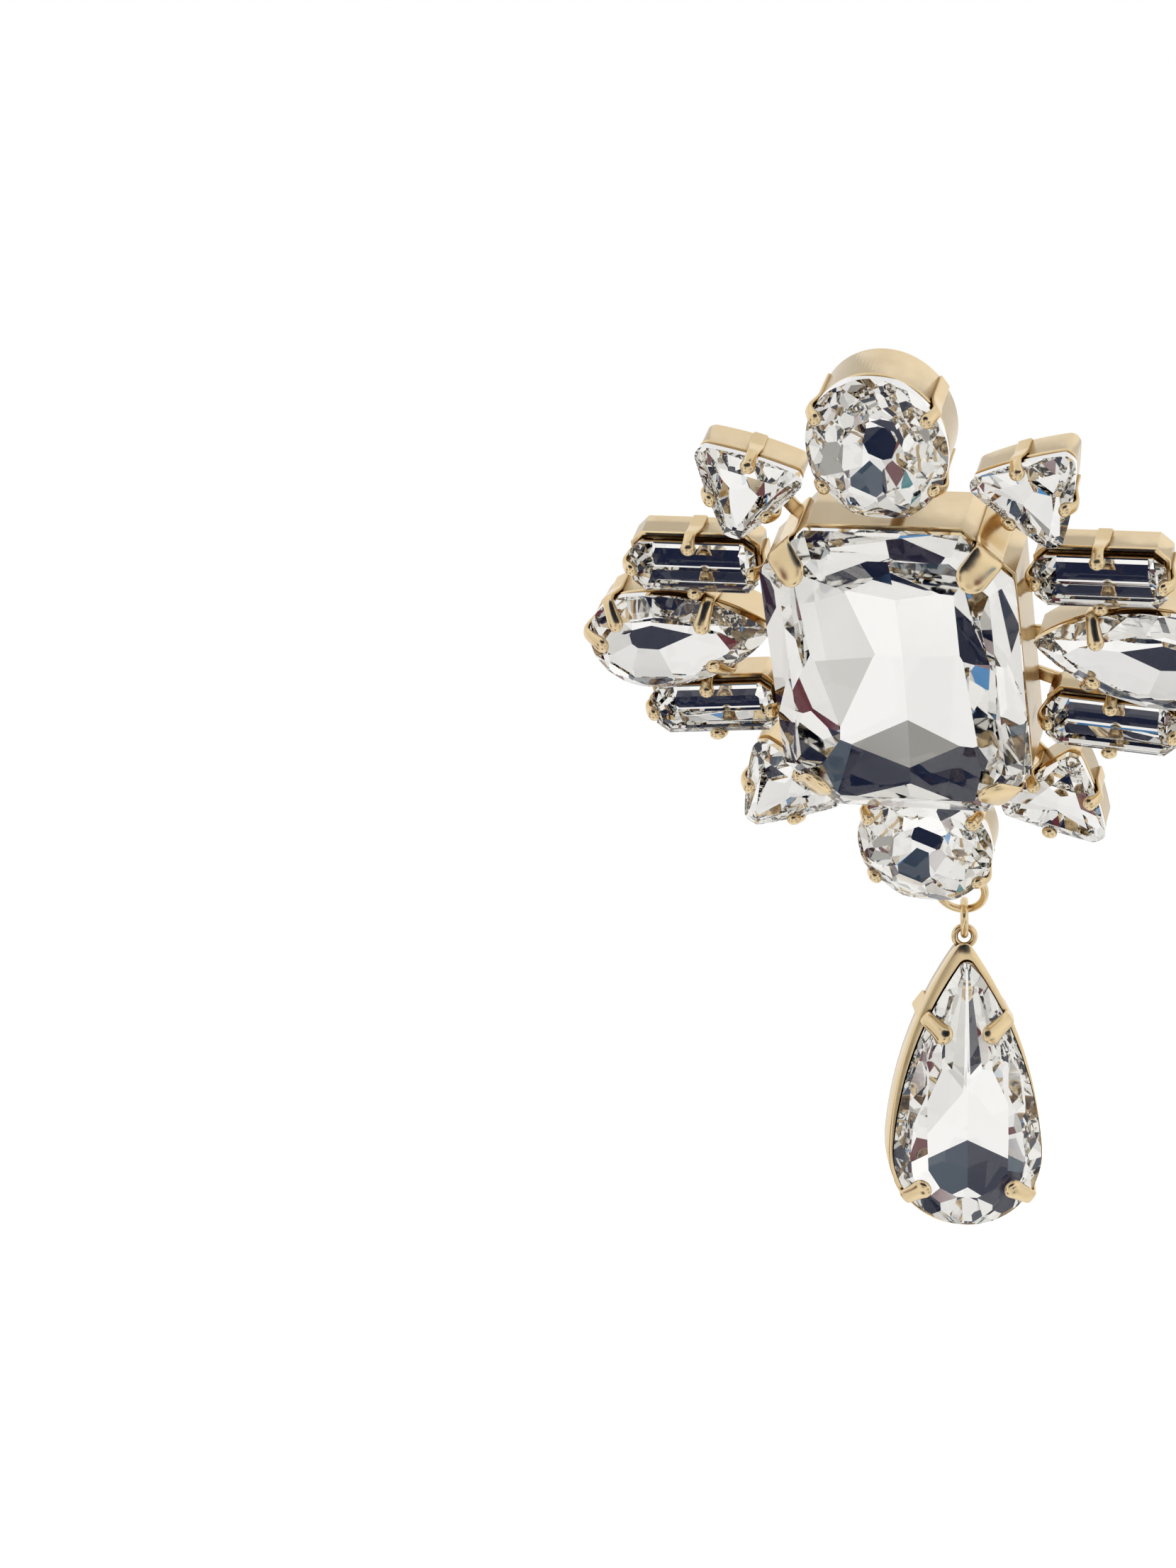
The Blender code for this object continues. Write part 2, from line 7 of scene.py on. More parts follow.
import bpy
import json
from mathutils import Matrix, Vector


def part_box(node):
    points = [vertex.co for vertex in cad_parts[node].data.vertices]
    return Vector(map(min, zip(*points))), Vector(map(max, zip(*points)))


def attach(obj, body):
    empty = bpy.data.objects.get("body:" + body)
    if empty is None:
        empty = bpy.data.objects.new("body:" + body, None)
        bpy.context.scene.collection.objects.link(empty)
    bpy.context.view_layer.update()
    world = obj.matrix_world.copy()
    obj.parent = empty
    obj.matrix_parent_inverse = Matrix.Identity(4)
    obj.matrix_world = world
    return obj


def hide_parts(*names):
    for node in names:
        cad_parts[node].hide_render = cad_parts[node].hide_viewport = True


bl_info = {
    "name": "Chandelier earring",
    "version": (1, 0, 0),
    "blender": (4, 5, 0),
    "location": "3D View > Sidebar > Earring",
    "description": "Foiled cut stones, claw cups, links and a studio for a chandelier earring",
    "category": "Object",
}

import json
from collections import namedtuple
from functools import partial
from math import acos, asin, atan2, copysign, cos, pi, radians, sin, sqrt, tan

import bmesh
import bpy
from mathutils import Matrix, Vector

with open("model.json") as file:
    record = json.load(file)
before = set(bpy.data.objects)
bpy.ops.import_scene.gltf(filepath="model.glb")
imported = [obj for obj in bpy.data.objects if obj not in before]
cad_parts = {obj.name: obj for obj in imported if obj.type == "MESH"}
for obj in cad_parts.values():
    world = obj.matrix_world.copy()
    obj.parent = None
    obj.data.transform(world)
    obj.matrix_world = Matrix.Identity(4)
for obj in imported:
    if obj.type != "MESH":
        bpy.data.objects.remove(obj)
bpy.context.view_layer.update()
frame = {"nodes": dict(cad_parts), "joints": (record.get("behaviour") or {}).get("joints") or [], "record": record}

MM = 0.001
OUT = Vector((0.0, 0.0, 1.0))
JOINTS = {joint["name"]: joint for joint in frame["joints"]}
MOUNTS = {mount["name"]: mount for mount in frame["record"]["mounts"]}

Seat = namedtuple("Seat", "name body place outline back steep flare claws grind")
Claw = namedtuple("Claw", "share degrees width reach")


def size(label, words, millimetres):
    """A length that a user may change, given in millimetres."""
    return bpy.props.FloatProperty(
        name=label, description=words, default=millimetres * MM, min=0.0, subtype="DISTANCE", unit="LENGTH",
        precision=5,
    )


def tint(label, words, default):
    """A colour that a user may change."""
    return bpy.props.FloatVectorProperty(
        name=label, description=words, default=default, size=3, min=0.0, max=1.0, subtype="COLOR"
    )


class EARRING_PG_stones(bpy.types.PropertyGroup):
    """Sizes and colours of the cut stones."""

    centre_width: size("Centre width", "Large cut-corner stone, across", 24.6)
    centre_height: size("Centre height", "Large cut-corner stone, up", 32.2)
    centre_corner: size("Centre corner", "Length that each corner cut takes off a side", 4.8)
    top_width: size("Top width", "Oval above the centre, across", 13.5)
    top_height: size("Top height", "Oval above the centre, up", 15.2)
    bottom_width: size("Bottom width", "Oval below the centre, across", 13.7)
    bottom_height: size("Bottom height", "Oval below the centre, up", 14.0)
    trillion_radius: size("Trillion radius", "Centre to corner of a three-cornered stone", 5.9)
    trillion_corner: size("Trillion corner", "Radius of its rounded corners", 1.15)
    trillion_reach: size("Trillion reach", "Centre to the middle of a side", 3.78)
    baguette_length: size("Baguette length", "Long step-cut stone, along", 13.2)
    baguette_width: size("Baguette width", "Long step-cut stone, across", 6.2)
    baguette_corner: size("Baguette corner", "Length that each corner cut takes off a side", 1.3)
    pear_length: size("Pear length", "Side pear, tip to head", 18.8)
    pear_width: size("Pear width", "Side pear, across", 10.8)
    drop_length: size("Drop length", "Hanging pear, tip to head", 28.1)
    drop_width: size("Drop width", "Hanging pear, across", 15.0)
    girdle: size("Girdle", "Thickness of each stone's edge", 0.5)
    glass: tint("Glass", "Body colour of the cut glass", (0.99, 0.987, 0.98))
    foil: tint("Foil", "Colour of the mirror foil", (0.93, 0.925, 0.91))


class EARRING_PG_setting(bpy.types.PropertyGroup):
    """Sizes and colours of the metal."""

    wall: size("Wall", "Thickness of a cup's wall", 0.5)
    inset: size("Inset", "How far a cup's wall lies inside the stone's edge", 0.2)
    seat_gap: size("Seat gap", "Space between a stone and its cup", 0.12)
    claw_gap: size("Claw gap", "Space between a stone and its claws", 0.08)
    claw_thickness: size("Claw thickness", "Thickness of the claw strips", 0.5)
    post_diameter: size("Post diameter", "Ear post wire", 0.9)
    post_length: size("Post length", "Ear post, from the back of the cluster", 10.5)
    loop_radius: size("Loop radius", "Cluster's loop, to the middle of its wire", 2.5)
    loop_wire: size("Loop wire", "Wire of the cluster's loop", 0.8)
    ring_radius: size("Ring radius", "Jump ring, to the middle of its wire", 1.75)
    ring_wire: size("Ring wire", "Wire of the jump ring", 0.8)
    drop_loop_radius: size("Drop loop radius", "Drop's loop, to the middle of its wire", 1.0)
    drop_loop_wire: size("Drop loop wire", "Wire of the drop's loop", 0.7)
    link_gap: size("Link gap", "Space between touching links", 0.1)
    bar_width: size("Bar width", "Bars soldered behind the cups", 1.5)
    drop_cup_length: size("Drop cup length", "Hanging cup's front, tip to head", 30.5)
    drop_cup_width: size("Drop cup width", "Hanging cup, across", 15.7)
    gold: tint("Gold", "Pale champagne plating", (0.775, 0.605, 0.360))
    # Painted shade: the gold darkens towards this brown in corners, creases and between parts, wherever ambient
    # occlusion finds them
    painted_crease_shade: tint("Crease", "Plating deep in the corners", (0.32, 0.18, 0.06))


class EARRING_PG_studio(bpy.types.PropertyGroup):
    """Floor, light and camera distances."""

    floor_depth: size("Floor depth", "Floor below the earring's post", 160.0)
    floor_reach: size("Floor reach", "Half width of the floor", 2000.0)
    paper: tint("Paper", "Pale floor and backdrop", (1.0, 1.0, 1.0))
    dark: tint("Dark", "Dark card that gives the stones their contrast", (0.012, 0.016, 0.040))
    wine: tint("Wine", "Warm dark rim of the card", (0.14, 0.035, 0.045))
    azure: tint("Azure", "Cool rim of the card", (0.10, 0.30, 0.62))
    teal: tint("Teal", "Green rim of the card", (0.07, 0.26, 0.30))
    slate: tint("Slate", "Lighter part of the card", (0.060, 0.085, 0.120))
    grey: tint("Grey", "Half-lit part of the room", (0.36, 0.35, 0.33))
    mist: tint("Mist", "Slightly dimmed part of the room", (0.70, 0.69, 0.67))


def sizes(group):
    """The properties of the stones, the setting or the studio."""
    return getattr(bpy.context.scene, "earring_" + group)


# Outlines, counterclockwise in a stone's own axes

OVAL_STEPS = 96
ARC_STEPS = 12
PEAR_SIDE_SHARE = 3.2
DROP_SIDE_SHARE = 5.2
PEAR_TIP = 0.35 * MM
DROP_TIP = 0.8 * MM
CUP_TIP = 1.1 * MM
TIP_STEPS = 8
PEAR_STEPS = 28
HEAD_STEPS = 44
PARALLEL = 1e-12
EDGE_SLACK = 1e-9


def polar(radius, angle):
    """A point at a distance and direction from the origin."""
    return Vector((radius * cos(angle), radius * sin(angle)))


def oval(half_width, half_height, inset=0.0):
    """Outline of an oval."""
    turns = [2.0 * pi * step / OVAL_STEPS for step in range(OVAL_STEPS)]
    return [Vector(((half_width - inset) * cos(a), (half_height - inset) * sin(a))) for a in turns]


def cut_corner(half_width, half_height, cut, inset=0.0):
    """Outline of an oblong with its corners cut at 45 degrees."""
    wide = half_width - inset
    high = half_height - inset
    corner = cut - inset * (2.0 - sqrt(2.0))
    quarter = [Vector((wide, high - corner)), Vector((wide - corner, high))]
    points = []
    for sign_x, sign_y in ((1, 1), (-1, 1), (-1, -1), (1, -1)):
        corners = [Vector((p.x * sign_x, p.y * sign_y)) for p in quarter]
        points += corners if sign_x * sign_y > 0 else reversed(corners)
    return points


def trillion(radius, corner_radius, reach, inset=0.0):
    """Outline of a three-cornered stone with bulging sides and one corner on +x."""
    arm = radius - corner_radius
    offset = arm / 2.0 - reach
    bulge = (corner_radius ** 2 - offset ** 2 - 0.75 * arm ** 2) / (2.0 * (offset + corner_radius))
    swing = atan2(arm * sin(pi / 3.0), arm / 2.0 - (reach - bulge))
    points = []
    for corner in range(3):
        heading = 2.0 * pi * corner / 3.0
        centre = polar(arm, heading)
        sweep = pi / 3.0 - swing
        for step in range(ARC_STEPS + 1):
            angle = heading + sweep * (2.0 * step / ARC_STEPS - 1.0)
            points.append(centre + polar(corner_radius - inset, angle))
        side = heading + pi / 3.0
        side_centre = polar(reach - bulge, side)
        for step in range(1, ARC_STEPS):
            angle = side + swing * (2.0 * step / ARC_STEPS - 1.0)
            points.append(side_centre + polar(bulge - inset, angle))
    return points


def pear(length, width, inset=0.0, side_share=PEAR_SIDE_SHARE, tip_radius=PEAR_TIP):
    """Outline of a pear with its rounded tip on +x and its round head's centre at the origin."""
    head = width / 2.0
    reach = length - head
    side_radius = head * side_share
    shift = side_radius - head
    join = acos((2.0 * side_radius * head - head ** 2 - reach ** 2) / (2.0 * reach * shift))
    arc_centre = -polar(shift, join)
    side = side_radius - inset
    round_tip = max(tip_radius - inset, 0.02 * MM)
    tip = asin(-arc_centre.y / (side - round_tip))
    tip_centre = Vector((arc_centre.x + (side - round_tip) * cos(tip), 0.0))
    point = [tip_centre + polar(round_tip, tip * (2.0 * step / TIP_STEPS - 1.0)) for step in range(TIP_STEPS)]
    upper = [arc_centre + polar(side, tip + (join - tip) * step / PEAR_STEPS) for step in range(PEAR_STEPS)]
    sweep = 2.0 * pi - 2.0 * join
    round_head = [polar(head - inset, join + sweep * step / HEAD_STEPS) for step in range(HEAD_STEPS + 1)]
    lower = [Vector((p.x, -p.y)) for p in reversed(upper[1:])]
    return point + upper + round_head + lower


def edge_at(points, start, angle):
    """Where a ray from start crosses an outline, and the outward direction there."""
    ray = polar(1.0, angle)
    for first, second in zip(points, points[1:] + points[:1]):
        run = second - first
        across = ray.cross(run)
        if abs(across) < PARALLEL:
            continue
        along = (first - start).cross(run) / across
        share = (first - start).cross(ray) / across
        if along > 0.0 and -EDGE_SLACK <= share <= 1.0 + EDGE_SLACK:
            return start + ray * along, Vector((run.y, -run.x)).normalized()
    raise ValueError("the ray misses the outline")


# Grinding a stone
# A facet starts at the girdle where a ray crosses the outline, or at a spot of its own inside the stone

Facet = namedtuple("Facet", "share degrees aim slope inset rise spot")
QUARTERS = ((1, 1), (-1, 1), (1, -1), (-1, -1))
WELD = 1e-7
FOILED_BELOW = 0.02


def blank(outline, low, high):
    """A prism over an outline, ready to be ground."""
    shape = bmesh.new()
    base = shape.faces.new([shape.verts.new((p.x, p.y, low)) for p in outline])
    lifted = bmesh.ops.extrude_face_region(shape, geom=[base])
    top = [item for item in lifted["geom"] if isinstance(item, bmesh.types.BMVert)]
    bmesh.ops.translate(shape, verts=top, vec=(0.0, 0.0, high - low))
    bmesh.ops.recalc_face_normals(shape, faces=shape.faces)
    return shape


def grind(shape, point, normal):
    """Grind one flat facet: what lies beyond the plane goes."""
    everything = shape.verts[:] + shape.edges[:] + shape.faces[:]
    cut = bmesh.ops.bisect_plane(
        shape, geom=everything, dist=WELD, plane_co=point, plane_no=normal, clear_outer=True
    )
    rim = [item for item in cut["geom_cut"] if isinstance(item, bmesh.types.BMEdge)]
    if len(rim) > 2:
        bmesh.ops.contextual_create(shape, geom=rim)


def facet(degrees, slope, share=0, aim=None, rise=0, inset=0):
    """A facet from the girdle, rise and inset in millimetres; aim turns it from the edge's direction."""
    return Facet(share, degrees, aim, slope, inset * MM, rise * MM, None)


def row(slope, *places, rise=0):
    """Facets of one slope from places on the girdle, each a share of the length and a direction."""
    return [facet(degrees, slope, share, rise=rise) for share, degrees in places]


def ring_of(count, slope, first=0, rise=0, inset=0):
    """Evenly turned facets round a stone's centre."""
    return [facet(first + 360.0 * step / count, slope, rise=rise, inset=inset) for step in range(count)]


def deep_facet(x, y, depth, aim, slope):
    """A facet through a point, given in millimetres, with its depth below the girdle."""
    return Facet(0, aim, aim, slope, 0.0, depth * MM, (x * MM, y * MM))


def deep_pair(x, y, depth, aim, turn, slope):
    """Two facets through a point, turned to either side of a direction."""
    return [deep_facet(x, y, depth, aim + side, slope) for side in (-turn, turn)]


def ground_stone(outline, length, table_rise, crown, pavilion, culet_depth):
    """A stone ground by lists of facets, the rise of its table and depth of its culet in millimetres."""
    half_girdle = sizes("stones").girdle / 2.0
    shape = blank(outline, -half_girdle - culet_depth * MM, half_girdle + table_rise * MM)
    for up, facets in ((1.0, crown), (-1.0, pavilion)):
        for item in facets:
            if item.spot is None:
                start = Vector((item.share * length, 0.0))
                spot, outward = edge_at(outline, start, radians(item.degrees))
            else:
                spot = Vector(item.spot)
            if item.aim is not None:
                outward = polar(1.0, radians(item.aim))
            slope = radians(item.slope)
            anchor = spot - outward * item.inset
            height = up * (half_girdle + item.rise)
            normal = Vector((outward.x * sin(slope), outward.y * sin(slope), up * cos(slope)))
            grind(shape, (anchor.x, anchor.y, height), normal)
    bmesh.ops.recalc_face_normals(shape, faces=shape.faces)
    for face in shape.faces:
        face.material_index = 1 if face.normal.z < FOILED_BELOW else 0
    return shape


def flipped(item, sign_x, sign_y):
    """A facet's image across one or both axes."""
    spot = item.spot and (item.spot[0] * sign_x, item.spot[1] * sign_y)
    degrees, aim = (
        None if angle is None else (180 - angle if sign_x < 0 else angle) * sign_y
        for angle in (item.degrees, item.aim)
    )
    return item._replace(degrees=degrees, aim=aim, spot=spot)


def mirrored(facets):
    """Facets with their mirror images across the x axis."""
    return [flipped(item, 1, sign) for item in facets for sign in (1, -1)]


def quartered(facets):
    """Facets with their mirror images across both axes."""
    return [flipped(item, sign_x, sign_y) for item in facets for sign_x, sign_y in QUARTERS]


def grind_oval(outline, length):
    """Oval cut: eight mains and stars over a small culet with long blocks round it."""
    crown = ring_of(8, 33) + ring_of(8, 19, 22.5, rise=1.36, inset=2.55)
    pavilion = [
        deep_facet(-1.8, 0, 3.0, 180, 17), deep_facet(-3.5, 0, 2.48, 180, 23),
        deep_facet(2.0, 0, 3.0, 0, 12), deep_facet(4.2, 0, 2.53, 0, 22),
        *deep_pair(0, 1.7, 3.0, 90, 12, 9),
        deep_facet(0, -2.0, 3.0, -76, 13), deep_facet(0, -2.0, 3.0, -104, 17),
    ]
    pavilion += ring_of(8, 27, 22.5, rise=0.3) + ring_of(8, 35)
    return ground_stone(outline, length, 1.75, crown, pavilion, 3.0)


def grind_centre(outline, length):
    """Large cut-corner stone: step crown over a four-pointed star of a pavilion."""
    crown = quartered(row(34, (0, 0), (0, 90), (0, 54.2)))
    pavilion = deep_pair(0, 0, 5.65, 90, 33.4, 8) + deep_pair(0, 0, 5.65, -90, -33.4, 11)
    pavilion += deep_pair(0, -6.9, 4.55, -90, -3, 19) + deep_pair(0, 6.9, 4.85, 90, 3, 20)
    pavilion += deep_pair(-3.4, 0, 5.15, 180, 6, 20) + deep_pair(7.4, 0, 4.75, 0, -5, 27)
    pavilion += [
        facet(90, 27, aim=79, rise=0.75), facet(90, 27, aim=101, rise=0.75),
        facet(-90, 27, aim=-79, rise=0.75), facet(-90, 27, aim=-99, rise=0.75),
        facet(-110, 27, aim=-108, rise=0.45), facet(-75, 29, aim=-70, rise=0.5),
        facet(0, 35, aim=9, rise=0.65), facet(0, 35, aim=-9, rise=0.65),
        facet(-54.2, 27, aim=-62, rise=0.7), facet(-125.8, 27, aim=-118, rise=0.7),
        facet(180, 35, aim=189, rise=0.65),
    ]
    pavilion += quartered(row(31, (0, 54.2), rise=0.8) + row(39, (0, 90)))
    pavilion += quartered(row(42, (0, 0)) + row(40, (0, 54.2)))
    return ground_stone(outline, length, 1.5, crown, pavilion, 6.0)


def grind_trillion(outline, length):
    """Three-cornered stone: table, side and corner bevels over a three-pointed star."""
    crown = ring_of(3, 33, 60) + ring_of(3, 33)
    pavilion = [deep_facet(0, 0, 1.75, corner, 12) for corner in (0, 120, 240)]
    for side in (60, 180, 300):
        pavilion += [facet(side, 27, aim=side + turn, rise=0.5) for turn in (-6, 6)]
        pavilion += [facet(side + turn, 37) for turn in (-26, 0, 26)]
        pavilion.append(facet(side + 60, 33))
    return ground_stone(outline, length, 1.0, crown, pavilion, 2.2)


def grind_baguette(outline, length):
    """Step cut: one bevel a side over a steep step and a broad flat keel."""
    sides = row(35, (0, 90), (0, 0), (0, 23.5))
    steps = [item._replace(slope=40) for item in sides]
    steps += [item._replace(slope=70, rise=0.65 * MM, inset=0.78 * MM) for item in sides]
    return ground_stone(outline, length, 0.85, quartered(sides), quartered(steps), 1.9)


def grind_pear(outline, length):
    """Pear brilliant: a table with a flat keel facet under it, ringed by mains and girdle facets."""
    crown = row(33, (0, 180), (0, 135), (0, 95), (0.3, 60), (0.3, 12))
    crown += row(38, (0, 157.5), (0, 115), (0.15, 78), (0.3, 30))
    pavilion = row(21, (0, 180), (0, 138), rise=0.2) + row(20, (0, 98), rise=0.2)
    pavilion += row(18, (0.25, 65), (0.4, 20), rise=0.2)
    pavilion += row(33, (0, 160), (0, 120), (0.1, 80), (0.3, 45))
    return ground_stone(outline, length, 1.35, mirrored(crown), mirrored(pavilion), 1.72)


def grind_drop(outline, length):
    """Hanging pear: a fan of narrow facets at the tip, a kite and a star of facets towards its head."""
    crown = row(30, (0, 180), (0, 150), (0, 120), (0, 92), (0.22, 75), (0.4, 50), (0.5, 12))
    crown += row(36, (0, 165), (0, 135), (0, 106), (0.1, 85), (0.35, 62), (0.45, 30))
    crown += [deep_facet(7, 0, 2.0, 16, 8), deep_facet(10, 0, 1.6, 50, 14)]
    pavilion = [
        deep_facet(1.1, 0, 2.6, 75, 13), deep_facet(1.1, 0, 2.6, 150, 12.5),
        deep_facet(20, 0, 0.62, 60, 15), deep_facet(20, 0, 0.62, 52, 11.6),
    ]
    pavilion += row(22, (0, 180), rise=0.15) + row(26, (0, 145), rise=0.15) + row(31, (0, 108), rise=0.2)
    pavilion += row(26, (0.15, 85), rise=0.25) + row(22, (0.3, 72), rise=0.2)
    pavilion += row(33, (0, 165), (0, 130)) + row(35, (0, 95)) + row(33, (0.15, 75))
    pavilion += row(31, (0.35, 82)) + row(29, (0.45, 64))
    return ground_stone(outline, length, 2.0, mirrored(crown), mirrored(pavilion), 3.9)


# Claws: the width and reach of each kind, and where a stone's claws cross its outline
# Columns of the places: share of the stone's length that the ray starts at, direction in degrees

SMALL_CLAW = (1.15 * MM, 1.2 * MM)
LONG_CLAW = (1.25 * MM, 2.5 * MM)
BROAD_CLAW = (3.3 * MM, 3.2 * MM)
DROP_CLAW = (1.55 * MM, 2.9 * MM)
ROUND_CLAWS = ((0, 35), (0, 145), (0, 215), (0, 325))
TRILLION_CLAWS = ((0, 60), (0, 180), (0, 300))
BAGUETTE_CLAWS = ((0, 0), (0, 90), (0, 180), (0, 270))
PEAR_CLAWS = ((0, 112), (0, 162), (0.30, 60), (0.30, -60))
DROP_CLAWS = ((0.45, 70), (0.45, -70), (0, 125), (0, -125))
CENTRE_CLAWS = ((0, 54.2), (0, 125.8), (0, 234.2), (0, 305.8))


def claws_of(table, shape, mirror=1.0):
    """Claws of one width and reach from a table of places."""
    width, reach = shape
    return [Claw(share, degrees * mirror, width, reach) for share, degrees in table]


# Places, read from the frame


def node_points(node):
    """A frame node's points."""
    return [vert.co.copy() for vert in frame["nodes"][node].data.vertices]


def node_middle(node):
    """The mean of a frame node's points."""
    points = node_points(node)
    return sum(points, Vector()) / len(points)


def table_normal(node):
    """The direction that a stone's largest flat face looks in."""
    totals = {}
    for face in frame["nodes"][node].data.polygons:
        key = tuple(round(part, 2) for part in face.normal)
        totals[key] = totals.get(key, Vector()) + face.normal * face.area
    return max(totals.values(), key=lambda total: total.length).normalized()


def axes_to_matrix(across, up, out, origin):
    """A matrix from three unit axes and an origin."""
    return Matrix.Translation(origin) @ Matrix((across, up, out)).transposed().to_4x4()


def cluster_face():
    """The cluster's face frame: x across, y up, z out, with its origin at the root of the post."""
    out = -Vector(MOUNTS["ear_post"]["axis"]).normalized()
    rise = node_middle("top_stone") - node_middle("bottom_stone")
    up = (rise - out * rise.dot(out)).normalized()
    return axes_to_matrix(up.cross(out), up, out, Vector(MOUNTS["ear_post"]["pos_m"]))


def drop_face():
    """The drop's face frame, with its origin on the drop's hinge."""
    out = table_normal("drop_stone")
    up = (OUT - out * out.z).normalized()
    return axes_to_matrix(up.cross(out), up, out, Vector(JOINTS["drop_swing"]["pos_m"]))


def stone_place(node, face, turn, head):
    """A stone's own axes at the middle of its girdle, or at the centre of its round head of this width."""
    turned = face @ Matrix.Rotation(turn, 4, "Z")
    into = turned.inverted()
    points = [into @ point for point in node_points(node)]
    middle = sum(points, Vector()) / len(points)
    far = max(point.x for point in points)
    edge = [point.z for point in points if point.x > far - EDGE_DEPTH]
    level = sum(edge) / len(edge)
    x = min(point.x for point in points) + head / 2.0 if head else middle.x
    return turned @ Matrix.Translation((x, middle.y, level)), level


# The hanging stone sits a little low and to the right in its cup, whose wall stands outside it, and
# whose back lies up and to the left of its front
CUP_SHIFT = (0.9 * MM, 0.75 * MM)
DROP_SHIFT = (0.0, -0.2 * MM, 0.0)
DROP_FLARE = 0.35 * MM
CAD_DROP_WIDTH = 15.4 * MM
EDGE_DEPTH = 0.01 * MM
TRILLION_TILT = radians(12.0)
BAGUETTE_TILT = radians(5.0)
PEAR_TILT = radians(8.0)


def all_seats():
    """Every stone's seat: its place, outline, claws and cut."""
    stones = sizes("stones")
    metal = sizes("setting")
    face = cluster_face()
    seats = []

    def add(name, turn, outline, steep, claws, cut, head=0.0):
        place, level = stone_place(name, face, turn, head)
        steep = radians(steep)
        seats.append(Seat(name, "cluster", place, outline, -level, steep, -metal.inset, claws, cut))

    centre = partial(cut_corner, stones.centre_width / 2.0, stones.centre_height / 2.0, stones.centre_corner)
    top = partial(oval, stones.top_width / 2.0, stones.top_height / 2.0)
    bottom = partial(oval, stones.bottom_width / 2.0, stones.bottom_height / 2.0)
    three = partial(trillion, stones.trillion_radius, stones.trillion_corner, stones.trillion_reach)
    half_length = stones.baguette_length / 2.0
    oblong = partial(cut_corner, half_length, stones.baguette_width / 2.0, stones.baguette_corner)
    side_pear = partial(pear, stones.pear_length, stones.pear_width)
    sides = {"side_share": DROP_SIDE_SHARE, "tip_radius": DROP_TIP}
    drop = partial(pear, stones.drop_length, stones.drop_width, **sides)

    add("centre_stone", 0.0, centre, 42.0, claws_of(CENTRE_CLAWS, BROAD_CLAW), grind_centre)
    add("top_stone", 0.0, top, 31.0, claws_of(ROUND_CLAWS, SMALL_CLAW), grind_oval)
    add("bottom_stone", 0.0, bottom, 31.0, claws_of(ROUND_CLAWS, SMALL_CLAW), grind_oval)
    for side, sign in (("left", -1.0), ("right", 1.0)):
        inward = 0.0 if sign < 0.0 else pi
        for level, lean in (("upper", -sign), ("lower", sign)):
            add(f"trillion_{level}_{side}", inward + lean * TRILLION_TILT, three, 37.0,
                claws_of(TRILLION_CLAWS, SMALL_CLAW), grind_trillion)
        for level, lean in (("upper", 0.0), ("lower", -sign)):
            add(f"baguette_{level}_{side}", lean * BAGUETTE_TILT, oblong, 40.0,
                claws_of(BAGUETTE_CLAWS, SMALL_CLAW), grind_baguette)
        add("pear_" + side, inward - sign * PEAR_TILT, side_pear, 33.0,
            claws_of(PEAR_CLAWS, LONG_CLAW, -sign), grind_pear, stones.pear_width)
    place, level = stone_place("drop_stone", drop_face(), pi / 2.0, CAD_DROP_WIDTH)
    seats.append(Seat("drop_stone", "drop", place @ Matrix.Translation(DROP_SHIFT), drop,
                      -level - metal.drop_loop_wire / 2.0, 0.0, DROP_FLARE,
                      claws_of(DROP_CLAWS, DROP_CLAW), grind_drop))
    return seats


# Metal shapes

CLAW_STEPS = 6
SECTION_POINTS = 20
TIP_RINGS = 6
FLAT_SECTION = 0.4
ROUND_SECTION = 1.0
CLAW_LEAN = 0.35
TIP_OPENING = 0.3
TIP_POWER = 0.8
BROAD_FROM = 2.0 * MM
# How much a broad and a slim claw spread on the wall, swell at the bead and thicken there
BROAD_SHAPE = (1.0, 1.0, 2.2)
SLIM_SHAPE = (1.25, 1.36, 2.3)
CROWN_SLOPE = radians(32.0)
# The post's solder collar: share of the wire's radius, height
COLLAR = ((1.9, 0.02 * MM), (1.45, -0.16 * MM), (1.08, -0.4 * MM), (1.0, -0.8 * MM))


def section(width, thickness, power):
    """Points of a section that is oval at power 1 and an oblong with soft edges below it."""
    points = []
    for step in range(SECTION_POINTS):
        angle = 2.0 * pi * step / SECTION_POINTS
        across = copysign(abs(cos(angle)) ** power, cos(angle))
        out = copysign(abs(sin(angle)) ** power, sin(angle))
        points.append((across * width / 2.0, out * thickness / 2.0))
    return points


def spline_points(stations, steps):
    """Smooth stations along a path, each a tuple of numbers."""
    result = []
    for index in range(len(stations) - 1):
        nearby = [stations[min(max(index + shift, 0), len(stations) - 1)] for shift in (-1, 0, 1, 2)]
        for step in range(steps):
            t = step / steps
            weights = (
                -0.5 * t + t ** 2 - 0.5 * t ** 3,
                1.0 - 2.5 * t ** 2 + 1.5 * t ** 3,
                0.5 * t + 2.0 * t ** 2 - 1.5 * t ** 3,
                -0.5 * t ** 2 + 0.5 * t ** 3,
            )
            result.append([sum(w * p[i] for w, p in zip(weights, nearby)) for i in range(len(stations[0]))])
    result.append(list(stations[-1]))
    return result


def loft(shape, rings):
    """Skin a closed tube over rings of equal length and cap its two ends."""
    made = [[shape.verts.new(point) for point in points] for points in rings]
    for lower, upper in zip(made, made[1:]):
        for i in range(len(lower)):
            j = (i + 1) % len(lower)
            shape.faces.new((lower[i], lower[j], upper[j], upper[i]))
    shape.faces.new(list(reversed(made[0])))
    shape.faces.new(made[-1])


